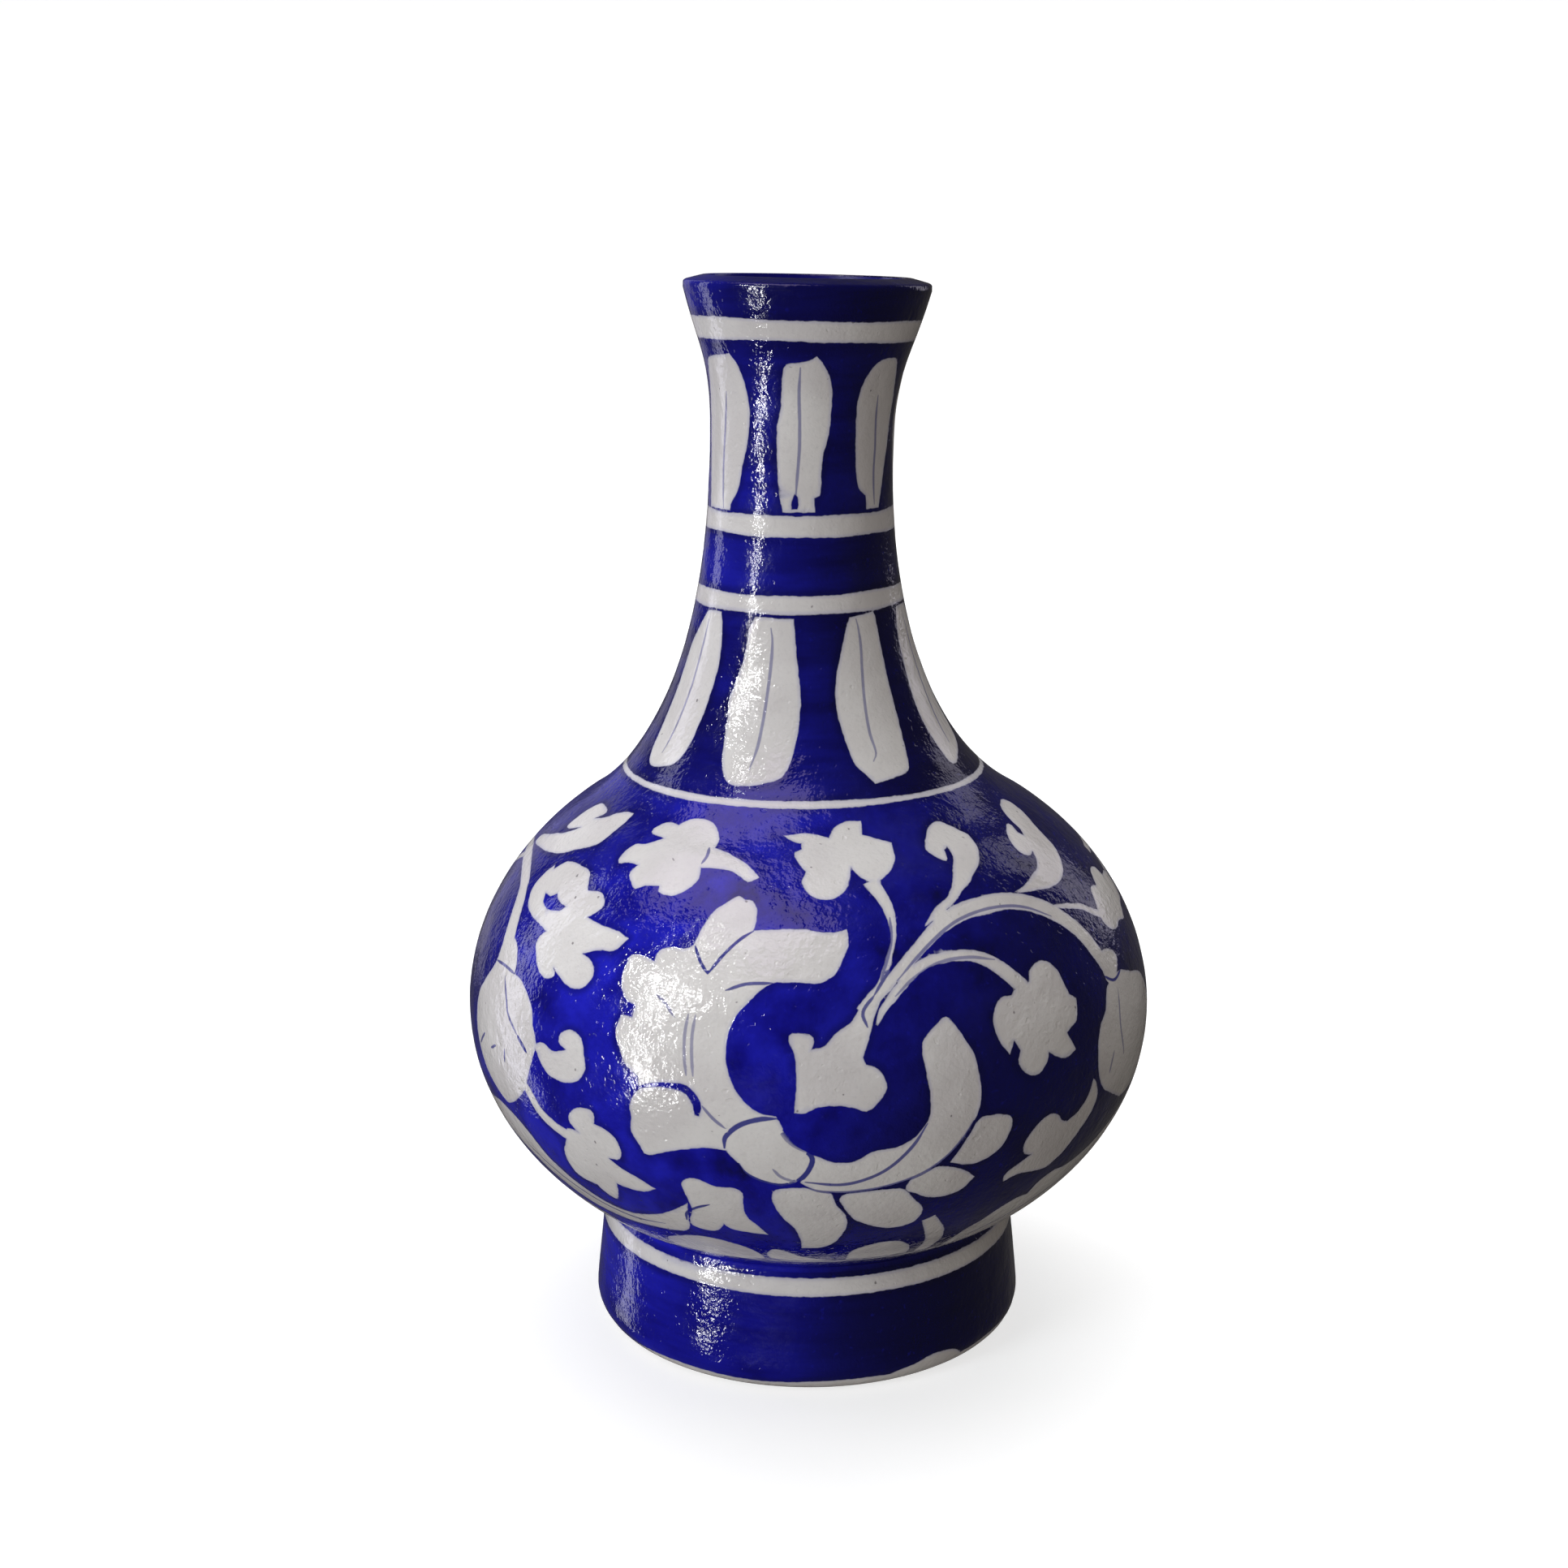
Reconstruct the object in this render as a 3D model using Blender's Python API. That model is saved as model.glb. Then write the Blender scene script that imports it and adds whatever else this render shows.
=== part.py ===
"""A bottle vase: a tall foot, a round belly, a long waisted neck and a flared mouth.

The pot is put together the way the craft does it. A thrown foot, two moulded half bowls, a thrown
neck and a thrown mouth collar are stacked, and at each joint a ring of soft clay (slip) fills the
bevelled edges of the two walls that meet there.

Sizes below are in millimetres. The vase stands on the XY plane with its axis on +Z.
"""
import bisect
import math

import bmesh
import bpy

MM = 0.001

# Heights, stacked from the table up. Each starts where its comment says.
FOOT_HEIGHT = 24.6           # table to the underside of the bowl, at the outer edge of its seat
LOWER_BOWL_DEPTH = 50.3      # widest line down to the underside of the bowl, on the axis
UPPER_BOWL_RISE = 52.2       # widest line up to where its ellipse would close on the axis
NECK_RISE = 68.9             # top of the bowl's round stretch to the waist of the neck
MOUTH_RISE = 27.7            # waist of the neck to where the lip starts to round over
LIP_RISE = 1.6               # height of the rounded lip

# Outer radii.
BELLY_RADIUS = 66.5
WAIST_RADIUS = 17.25
MOUTH_RADIUS = 22.9
FOOT_RADIUS = 42.6           # above the foot's rounded lower edge

# How the neck runs between the round belly and the mouth.
SHOULDER_TURN = math.radians(48.6)   # how far round its ellipse the upper bowl runs
SHOULDER_PULL = 3.0                  # how far the neck keeps the direction of the bowl it leaves
NECK_PULL = 57.0                     # how far below the waist the neck is already upright
WAIST_PULL = 14.6                    # how far above the waist the neck is still upright
MOUTH_PULL = 11.7                    # how far the mouth keeps its final slope
MOUTH_SLOPE = 0.26                   # outward run of the mouth for each unit of rise

# Walls.
BELLY_WALL = 5.5
MOUTH_WALL = 4.4
FOOT_WALL = 6.1              # between the top of the foot's outside and its inside

# The foot's outside and edges.
FOOT_TAPER = 1.7             # how much narrower the foot is at its top
FOOT_EDGE_RUN = 4.0          # width and height of the rounded lower edge
FOOT_EDGE_RISE = 4.6
FOOT_PAD_BEVEL_RUN = 1.1     # width and height of the bevel on the inside of the pad
FOOT_PAD_BEVEL_RISE = 1.8
SEAT_INSET = 1.3             # the foot turns in this far to its seat, over this height
SEAT_TURN_RISE = 2.3

# Joints. The two pieces that meet at a joint each keep FIT_GAP to the slip between them.
SHOULDER_JOINT_RISE = 7.35   # top of the bowl's round stretch up to the shoulder joint
COLLAR_JOINT_DROP = 22.6     # waist of the neck down to the collar joint
SLIP_WIDTH = 1.0             # slip thickness in the middle of the wall
SLIP_FACE_WIDTH = 2.4        # slip thickness at the inner and outer faces, where it fills the bevels
SLIP_BEVEL_DEPTH = 1.0       # depth of those bevels
SEAT_SLIP = 1.2              # slip thickness between the foot and the bowl
SEAT_SLIP_STANDOUT = 0.5     # how far the seat's slip stands past the foot, outside and inside
FIT_GAP = 0.3

# Radii and heights that follow from the sizes above.
FOOT_TOP_RADIUS = FOOT_RADIUS - FOOT_TAPER
FOOT_INNER_RADIUS = FOOT_TOP_RADIUS - FOOT_WALL
FOOT_PAD_INNER_RADIUS = FOOT_INNER_RADIUS + FOOT_PAD_BEVEL_RUN
FOOT_PAD_OUTER_RADIUS = FOOT_RADIUS - FOOT_EDGE_RUN
SEAT_RADIUS = FOOT_TOP_RADIUS - SEAT_INSET
SEAT_DROP = LOWER_BOWL_DEPTH * math.sqrt(1.0 - (SEAT_RADIUS / BELLY_RADIUS) ** 2)
EQUATOR_HEIGHT = FOOT_HEIGHT + SEAT_DROP

SEGMENTS = 40
CURVE_STEP = 0.5             # spacing of the points that the wall's outer curve is measured on
WALL_STEP = 6.0              # longest facet along a wall


def bezier(start, start_handle, end_handle, end, count):
    """Points on a cubic curve, without its first point."""
    points = []
    for i in range(1, count + 1):
        t = i / count
        weights = ((1 - t) ** 3, 3 * (1 - t) ** 2 * t, 3 * (1 - t) * t * t, t ** 3)
        corners = (start, start_handle, end_handle, end)
        r = sum(w * c[0] for w, c in zip(weights, corners))
        z = sum(w * c[1] for w, c in zip(weights, corners))
        points.append((r, z))
    return points


def ellipse(half_height, start, end, count):
    """Points on the belly's ellipse from one turn angle to another, without its first point."""
    points = []
    for i in range(1, count + 1):
        turn = start + (end - start) * i / count
        points.append((BELLY_RADIUS * math.cos(turn), EQUATOR_HEIGHT + half_height * math.sin(turn)))
    return points


class Wall:
    """The outer curve of the pot from the bottom of the bowl to the lip, and the wall inside it.

    A place in the wall is given by its run, the distance along the outer curve from the axis at
    the bottom of the bowl, and its depth, measured square to the outer curve into the clay.
    """

    def __init__(self):
        self.points = [(0.0, EQUATOR_HEIGHT - LOWER_BOWL_DEPTH)]
        count = math.ceil(1.6 * BELLY_RADIUS / CURVE_STEP)
        self.points += ellipse(LOWER_BOWL_DEPTH, -math.pi / 2, 0.0, count)
        self.equator = self.last_run()
        self.points += ellipse(UPPER_BOWL_RISE, 0.0, SHOULDER_TURN, count // 2)
        r, z = self.points[-1]
        self.round_top = z
        across = -BELLY_RADIUS * math.sin(SHOULDER_TURN)
        up = UPPER_BOWL_RISE * math.cos(SHOULDER_TURN)
        length = math.hypot(across, up)
        handle = (r + SHOULDER_PULL * across / length, z + SHOULDER_PULL * up / length)
        waist = (WAIST_RADIUS, z + NECK_RISE)
        self.waist_height = waist[1]
        below_waist = (WAIST_RADIUS, waist[1] - NECK_PULL)
        self.points += bezier((r, z), handle, below_waist, waist, math.ceil(NECK_RISE / CURVE_STEP))
        lip = (MOUTH_RADIUS, waist[1] + MOUTH_RISE)
        above_waist = (WAIST_RADIUS, waist[1] + WAIST_PULL)
        length = math.hypot(MOUTH_SLOPE, 1.0)
        below_lip = (lip[0] - MOUTH_PULL * MOUTH_SLOPE / length, lip[1] - MOUTH_PULL / length)
        self.points += bezier(waist, above_waist, below_lip, lip, math.ceil(MOUTH_RISE / CURVE_STEP))
        self.runs = [0.0]
        for (r0, z0), (r1, z1) in zip(self.points, self.points[1:]):
            self.runs.append(self.runs[-1] + math.hypot(r1 - r0, z1 - z0))
        self.top = self.runs[-1]
        self.seat = self.run_at_radius(SEAT_RADIUS)
        self.shoulder = self.run_at_height(self.round_top + SHOULDER_JOINT_RISE)
        self.collar = self.run_at_height(self.waist_height - COLLAR_JOINT_DROP)

    def last_run(self):
        """Length of the curve as laid so far."""
        return sum(math.dist(a, b) for a, b in zip(self.points, self.points[1:]))

    def run_at_height(self, height):
        """Run of the first place at a height."""
        for i, (a, b) in enumerate(zip(self.points, self.points[1:])):
            if a[1] <= height <= b[1]:
                return self.runs[i] + (height - a[1]) / (b[1] - a[1]) * math.dist(a, b)
        raise ValueError(f"the wall does not reach {height} mm")

    def run_at_radius(self, radius):
        """Run of the first place at a radius, on the underside of the bowl."""
        for i, (a, b) in enumerate(zip(self.points, self.points[1:])):
            if a[0] <= radius <= b[0]:
                return self.runs[i] + (radius - a[0]) / (b[0] - a[0]) * math.dist(a, b)
        raise ValueError(f"the bowl does not reach {radius} mm")

    def thickness(self, run):
        """Wall thickness: the bowl's up to the shoulder joint, then thinning up to the lip."""
        share = (run - self.shoulder) / (self.top - self.shoulder)
        share = min(max(share, 0.0), 1.0)
        return BELLY_WALL + (MOUTH_WALL - BELLY_WALL) * share

    def place(self, run, depth=0.0):
        """Radius and height of a place in the wall."""
        run = min(max(run, 0.0), self.top)
        i = min(max(bisect.bisect_right(self.runs, run) - 1, 0), len(self.points) - 2)
        (r0, z0), (r1, z1) = self.points[i], self.points[i + 1]
        span = self.runs[i + 1] - self.runs[i]
        share = (run - self.runs[i]) / span
        ahead = ((r1 - r0) / span, (z1 - z0) / span)
        r = r0 + (r1 - r0) * share - ahead[1] * depth
        z = z0 + (z1 - z0) * share + ahead[0] * depth
        return (max(r, 0.0), z)

    def stretch(self, start, end, inside=False):
        """Points along the outer or inner face from one run to another, both ends included."""
        count = max(1, math.ceil(abs(end - start) / WALL_STEP))
        points = []
        for i in range(count + 1):
            run = start + (end - start) * i / count
            points.append(self.place(run, self.thickness(run) if inside else 0.0))
        return points

    def joint_face(self, joint, side, clearance):
        """One side of a joint's slip, or of the bevelled wall that faces it, from outside to inside.

        side is +1 above the joint and -1 below it.
        """
        wide = side * (SLIP_FACE_WIDTH / 2 + clearance)
        narrow = side * (SLIP_WIDTH / 2 + clearance)
        wall = self.thickness(joint)
        return [
            self.place(joint + wide),
            self.place(joint + narrow, SLIP_BEVEL_DEPTH),
            self.place(joint + narrow, wall - SLIP_BEVEL_DEPTH),
            self.place(joint + wide, wall),
        ]


def turned(name, outline, material):
    """Spin an outline of (radius, height) points about Z into one closed body.

    An outline that starts and ends on the axis is closed by the axis itself.
    """
    on_axis = outline[0][0] == 0.0 and outline[-1][0] == 0.0
    bm = bmesh.new()
    verts = [bm.verts.new((r * MM, 0.0, z * MM)) for r, z in outline]
    edges = [bm.edges.new(pair) for pair in zip(verts, verts[1:])]
    if not on_axis:
        edges.append(bm.edges.new((verts[-1], verts[0])))
    bmesh.ops.spin(
        bm,
        geom=verts + edges,
        cent=(0.0, 0.0, 0.0),
        axis=(0.0, 0.0, 1.0),
        angle=math.tau,
        steps=SEGMENTS,
        use_merge=True,
    )
    bmesh.ops.remove_doubles(bm, verts=bm.verts, dist=0.001 * MM)
    bmesh.ops.recalc_face_normals(bm, faces=bm.faces)
    mesh = bpy.data.meshes.new(name)
    bm.to_mesh(mesh)
    bm.free()
    mesh.materials.append(material)
    mesh.shade_smooth()
    mesh.set_sharp_from_angle(angle=math.radians(35.0))
    piece = bpy.data.objects.new(name, mesh)
    bpy.context.scene.collection.objects.link(piece)
    return piece


def arc(centre, radii, start, end, count):
    """Points on an ellipse arc, both ends included; radii are its half width and half height."""
    points = []
    for i in range(count + 1):
        turn = start + (end - start) * i / count
        points.append((centre[0] + radii[0] * math.cos(turn), centre[1] + radii[1] * math.sin(turn)))
    return points


def principled(name, colour, roughness):
    """A plain non-metal material."""
    material = bpy.data.materials.new(name)
    material.use_nodes = True
    shader = material.node_tree.nodes["Principled BSDF"]
    shader.inputs["Base Color"].default_value = (*colour, 1.0)
    shader.inputs["Roughness"].default_value = roughness
    shader.inputs["Metallic"].default_value = 0.0
    return material


def foot_ring(wall, material):
    """The thrown foot: a short drum whose top is cut to the slope of the bowl that sits on it."""
    seat_depth = -(SEAT_SLIP + 2 * FIT_GAP)
    seat_inner = wall.run_at_radius(FOOT_INNER_RADIUS)
    seat_edge = wall.place(wall.seat - SEAT_SLIP_STANDOUT, seat_depth)
    shoulder = seat_edge[1] - SEAT_TURN_RISE
    edge_centre = (FOOT_PAD_OUTER_RADIUS, FOOT_EDGE_RISE)
    edge_radii = (FOOT_RADIUS - FOOT_PAD_OUTER_RADIUS, FOOT_EDGE_RISE)
    outline = [(FOOT_PAD_INNER_RADIUS, 0.0)]
    outline += arc(edge_centre, edge_radii, -math.pi / 2, 0.0, 5)
    outline.append((FOOT_TOP_RADIUS, shoulder))
    turn_radii = (FOOT_TOP_RADIUS - seat_edge[0], SEAT_TURN_RISE)
    outline += arc((seat_edge[0], shoulder), turn_radii, math.pi / 6, math.pi / 2, 2)
    outline.append(wall.place((wall.seat + seat_inner) / 2, seat_depth))
    outline.append(wall.place(seat_inner + SEAT_SLIP_STANDOUT, seat_depth))
    outline.append((FOOT_INNER_RADIUS, FOOT_PAD_BEVEL_RISE))
    return turned("foot_ring", outline, material)


def foot_joint_slip(wall, material):
    """The bed of slip between the foot and the underside of the bowl."""
    inner = wall.run_at_radius(FOOT_INNER_RADIUS)
    middle = (inner + wall.seat) / 2
    near = -FIT_GAP
    far = -(FIT_GAP + SEAT_SLIP)
    outline = [
        wall.place(inner, far),
        wall.place(middle, far),
        wall.place(wall.seat, far),
        wall.place(wall.seat + SEAT_SLIP_STANDOUT, near),
        wall.place(middle, near),
        wall.place(inner - SEAT_SLIP_STANDOUT, near),
    ]
    return turned("foot_joint_slip", outline, material)


def lower_bowl(wall, material):
    """The moulded lower half of the belly, with the floor of the vase."""
    below = wall.joint_face(wall.equator, -1, FIT_GAP)
    end = wall.equator - SLIP_FACE_WIDTH / 2 - FIT_GAP
    outline = wall.stretch(0.0, end)[:-1] + below + wall.stretch(end, 0.0, inside=True)[1:]
    return turned("lower_bowl", outline, material)


def section(name, wall, lower_joint, upper_joint, material):
    """A length of wall between two joints."""
    trim = SLIP_FACE_WIDTH / 2 + FIT_GAP
    start = lower_joint + trim
    end = upper_joint - trim
    outline = wall.stretch(start, end)[1:-1]
    outline += wall.joint_face(upper_joint, -1, FIT_GAP)
    outline += wall.stretch(end, start, inside=True)[1:-1]
    outline += reversed(wall.joint_face(lower_joint, 1, FIT_GAP))
    return turned(name, outline, material)


def mouth_collar(wall, material):
    """The thrown top of the neck, flared to the mouth and rounded over at the lip."""
    start = wall.collar + SLIP_FACE_WIDTH / 2 + FIT_GAP
    outer = wall.place(wall.top)
    inner = wall.place(wall.top, wall.thickness(wall.top))
    middle = ((outer[0] + inner[0]) / 2, (outer[1] + inner[1]) / 2)
    across = (outer[0] - middle[0], outer[1] - middle[1])
    lip = []
    for i in range(1, 8):
        turn = math.pi * i / 8
        r = middle[0] + across[0] * math.cos(turn)
        z = middle[1] + across[1] * math.cos(turn) + LIP_RISE * math.sin(turn)
        lip.append((r, z))
    outline = wall.stretch(start, wall.top)[1:] + lip
    outline += wall.stretch(wall.top, start, inside=True)[:-1]
    outline += reversed(wall.joint_face(wall.collar, 1, FIT_GAP))
    return turned("mouth_collar", outline, material)


def joint_slip(name, wall, joint, material):
    """A ring of slip right through the wall, wider where it fills the bevels of the two faces."""
    outline = wall.joint_face(joint, -1, 0.0)
    outline += reversed(wall.joint_face(joint, 1, 0.0))
    return turned(name, outline, material)


def main():
    for piece in list(bpy.data.objects):
        bpy.data.objects.remove(piece, do_unlink=True)
    cobalt_foot = principled("cobalt_foot", (0.008, 0.006, 0.26), 0.12)
    painted_belly = principled("painted_belly", (0.01, 0.008, 0.30), 0.10)
    painted_neck = principled("painted_neck", (0.01, 0.008, 0.27), 0.10)
    cobalt_mouth = principled("cobalt_mouth", (0.009, 0.007, 0.24), 0.12)
    joint_clay = principled("joint_clay", (0.55, 0.52, 0.50), 0.45)
    wall = Wall()
    foot_ring(wall, cobalt_foot)
    foot_joint_slip(wall, joint_clay)
    lower_bowl(wall, painted_belly)
    joint_slip("belly_joint_slip", wall, wall.equator, joint_clay)
    section("upper_bowl", wall, wall.equator, wall.shoulder, painted_belly)
    joint_slip("shoulder_joint_slip", wall, wall.shoulder, joint_clay)
    section("neck", wall, wall.shoulder, wall.collar, painted_neck)
    joint_slip("collar_joint_slip", wall, wall.collar, joint_clay)
    mouth_collar(wall, cobalt_mouth)


main()
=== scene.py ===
"""A glazed bottle vase, painted in cobalt on a white ground.

The wall is laid out flat first: the painter's outlines are cut into a sheet whose width is one
turn round the pot and whose height is the run up its outer face. A Geometry Nodes tree then wraps
the sheet round the turned wall, with the small dents, lean and tilt that a hand-thrown pot has.
Lengths on the pot are in millimetres, and turns in the painter's shapes are in degrees. The finishes,
the stage, the lights and the camera are in metres.
"""
import math

import bpy
import numpy as np
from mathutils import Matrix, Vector
from mathutils.geometry import delaunay_2d_cdt
from mathutils.kdtree import KDTree


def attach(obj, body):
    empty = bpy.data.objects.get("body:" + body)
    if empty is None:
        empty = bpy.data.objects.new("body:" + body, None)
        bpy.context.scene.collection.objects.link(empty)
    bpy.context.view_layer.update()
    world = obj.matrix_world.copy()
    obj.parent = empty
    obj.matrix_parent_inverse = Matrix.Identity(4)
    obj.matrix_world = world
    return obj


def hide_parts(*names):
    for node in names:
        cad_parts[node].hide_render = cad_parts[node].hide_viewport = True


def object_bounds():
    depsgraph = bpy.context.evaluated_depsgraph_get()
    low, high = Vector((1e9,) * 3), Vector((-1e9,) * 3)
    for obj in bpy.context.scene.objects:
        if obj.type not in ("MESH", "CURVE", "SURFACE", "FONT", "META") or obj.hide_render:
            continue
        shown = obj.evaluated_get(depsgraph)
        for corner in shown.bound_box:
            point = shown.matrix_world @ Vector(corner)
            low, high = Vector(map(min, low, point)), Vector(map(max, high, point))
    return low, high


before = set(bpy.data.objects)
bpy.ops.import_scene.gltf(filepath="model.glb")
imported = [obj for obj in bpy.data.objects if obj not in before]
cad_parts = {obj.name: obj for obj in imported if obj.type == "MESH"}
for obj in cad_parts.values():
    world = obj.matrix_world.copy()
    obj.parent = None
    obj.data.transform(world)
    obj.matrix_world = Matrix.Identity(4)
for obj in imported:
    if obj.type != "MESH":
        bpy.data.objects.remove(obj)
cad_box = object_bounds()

MM = 0.001
TIP = 1                      # marks a sharp corner in an outline

# Driving sizes of the clay. The belly's width comes from the frame.
BOX_CLEARANCE = 0.02         # the painted face stays this far inside the frame's box
BELLY_RADIUS = cad_box[1].x / MM - BOX_CLEARANCE
FOOT_HEIGHT = 24.6
LOWER_BOWL_DEPTH = 50.3
UPPER_BOWL_RISE = 52.2
NECK_RISE = 68.9
MOUTH_RISE = 27.7
LIP_RISE = 1.3
LIP_SQUARE = 0.3             # 1 would round the lip to half an ellipse; less leaves it squarer
WAIST_RADIUS = 17.25
MOUTH_RADIUS = 22.9
FOOT_RADIUS = 42.6
SHOULDER_TURN = math.radians(48.6)
SHOULDER_PULL = 3.0
NECK_PULL = 57.0
WAIST_PULL = 14.6
MOUTH_PULL = 11.7
MOUTH_SLOPE = 0.26
BELLY_WALL = 5.5
MOUTH_WALL = 4.4
FOOT_WALL = 6.1
FOOT_TAPER = 1.7
FOOT_EDGE_RUN = 4.0
FOOT_EDGE_RISE = 4.6
FOOT_ROUND_DROP = 4.1        # the foot begins to round over this far below its top
FOOT_ROUND = (0.95, 2.5)     # how far in and how far up it would round over
FOOT_ROUND_TURN = math.radians(72)
CREASE_DROP = 1.0            # the crease lies this far below the top of the foot
PAD_INSET = 1.1
SEAT_INSET = 1.3
FOOT_TOP_RADIUS = FOOT_RADIUS - FOOT_TAPER
FOOT_INNER_RADIUS = FOOT_TOP_RADIUS - FOOT_WALL
PAD_OUTER_RADIUS = FOOT_RADIUS - FOOT_EDGE_RUN
PAD_INNER_RADIUS = FOOT_INNER_RADIUS + PAD_INSET
SEAT_RADIUS = FOOT_TOP_RADIUS - SEAT_INSET
SEAT_DROP = LOWER_BOWL_DEPTH * math.sqrt(1.0 - (SEAT_RADIUS / BELLY_RADIUS) ** 2)
EQUATOR_HEIGHT = FOOT_HEIGHT + SEAT_DROP
SHOULDER_JOINT_RISE = 7.35
COLLAR_JOINT_DROP = 22.6

# Sizes of the joints, the pad and the slip, measured along the wall and into it.
JOINT_MOUTH = 1.1            # depth under the painted face at which a joint opens
JOINT_SHELF = 1.4
JOINT_STEP = 0.5
JOINT_INSET = 0.6
JOINT_GAP = 1.0              # the inside of a wall stops this far from a joint
SEAT_GAP = 1.0               # the foot stands this far clear of the underside of the bowl
PAD_BEVEL = (0.35, 0.5)      # the inner edge of the pad: how far in and how far up
PAD_EDGE = 0.8               # flat of the pad inside its outer edge
BEAD_FRONT = ((-0.42, 1.55), (0.42, 1.55))                              # run and depth
BEAD_BACK = ((0.42, -0.7), (0.9, -0.05), (0.7, 0.35), (0.0, 0.5), (-0.7, 0.35), (-0.9, -0.05),
             (-0.42, -0.7))                                             # run and depth past the wall
BED_LOW, BED_HIGH = -0.9, -0.1                                          # depths of the bed of slip
BOWL_STEPS = 160             # corners along the widest curves of the wall
LIP_STEPS = 12

# Painting and meshing.
OUTLINE_STEP = 0.8           # spacing of points along a painted outline
SHEET_STEP = 1.75            # spacing of points where nothing is painted
NOTCH = math.radians(38.0)   # an outline that bends inwards by more than this is sharp there
KEEP_CLEAR = 0.8             # no loose point stands nearer than this to an outline
LINE_GUARD = 0.6             # a drawn line has loose points this far on either side
COLUMNS = 144                # facets round the faces that are not painted
EDGE_CLEAR = 0.3             # no loose point stands nearer than this to the sheet's own edge
RING_STEP = 1.5              # spacing of points round a joint
ROW_SHARE = 0.87             # rows lie this much closer than the points in a row
CREASE_ROW = 0.4             # spacing of rows beside the crease
CREASE_REACH = 1.8           # and how far from the crease they lie so close
CREASE_COLUMNS = 170         # points in a row beside the crease
CREASE_COLUMNS_REACH = 2.2
EDGE_ROW = 0.9               # spacing of rows round the edge of the foot
EDGE_TOP = 6.0               # height up to which they lie so close
EDGE_STEP = 1.1              # spacing of points in those rows
EDGE_RUN = 9.0               # run up to which they stand so close
GUARD_SHARE = 0.45           # a guard nearer a line than this share of LINE_GUARD is left out
CHORD = 0.45                 # an edge longer than this between two painted edges gets a middle point
SEAM_TURN = 3.14             # radians; beyond this a middle point would crowd the seam
PAINT_REACH = 6.0            # distances to painted edges are kept up to here
LINE_REACH = 3.0             # and distances to drawn lines up to here
JOIN = 2e-5                  # radians; corners of the flat sheet this close are one
ON_LINE = 1e-5               # radians; a corner this close to a line of the sheet is on it
SHARP_EDGE = math.radians(38.0)
FLOOR_DROP = -0.0001         # metres; the floor lies just under the foot


# ---------------------------------------------------------------- the turned wall

def bezier(start, start_handle, end_handle, end, count):
    """Points on a cubic curve, without its first point."""
    points = []
    for i in range(1, count + 1):
        t = i / count
        weights = ((1 - t) ** 3, 3 * (1 - t) ** 2 * t, 3 * (1 - t) * t * t, t ** 3)
        corners = (start, start_handle, end_handle, end)
        r = sum(w * c[0] for w, c in zip(weights, corners))
        z = sum(w * c[1] for w, c in zip(weights, corners))
        points.append((r, z))
    return points


def arc(centre, radii, start, end, count):
    """Points on an ellipse arc between two angles in radians, both ends included."""
    points = []
    for i in range(count + 1):
        turn = start + (end - start) * i / count
        points.append((centre[0] + radii[0] * math.cos(turn), centre[1] + radii[1] * math.sin(turn)))
    return points


class Curve:
    """A curve of (radius, height) points that is measured by the run along it."""

    def __init__(self, points, zero=0.0):
        self.points = np.array(points, float)
        steps = np.hypot(*np.diff(self.points, axis=0).T)
        self.runs = np.concatenate(([0.0], np.cumsum(steps))) - zero
        ahead = np.gradient(self.points, self.runs, axis=0)
        self.ahead = ahead / np.hypot(*ahead.T)[:, None]

    def place(self, run, depth=0.0):
        """Radius and height of a place on the curve, or at a depth square to it."""
        spot = self.at(run)
        return (spot[0] - spot[3] * depth, spot[1] + spot[2] * depth)

    def at(self, run):
        """Radius, height and direction at a run."""
        columns = (self.points[:, 0], self.points[:, 1], self.ahead[:, 0], self.ahead[:, 1])
        return tuple(np.interp(run, self.runs, column) for column in columns)

    def run_at_height(self, height):
        """Run of the last place at a height."""
        return float(np.interp(height, self.points[:, 1], self.runs))


def bowl_points(height, start, end, count):
    """Points on the belly's ellipse between two turn angles in radians."""
    return arc((0.0, EQUATOR_HEIGHT), (BELLY_RADIUS, height), start, end, count)


def foot_points():
    """The outside of the foot, from the pad it stands on up to the crease under the bowl."""
    steps = 16
    edge = arc((PAD_OUTER_RADIUS, FOOT_EDGE_RISE), (FOOT_EDGE_RUN, FOOT_EDGE_RISE), -math.pi / 2, 0, steps)
    shoulder = FOOT_HEIGHT - FOOT_ROUND_DROP
    side = [(FOOT_RADIUS - FOOT_TAPER * i / steps,
             FOOT_EDGE_RISE + (shoulder - FOOT_EDGE_RISE) * i / steps) for i in range(1, steps)]
    top = arc((FOOT_TOP_RADIUS - FOOT_ROUND[0], shoulder), FOOT_ROUND, 0, FOOT_ROUND_TURN, 8)
    return edge + side + top


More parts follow.
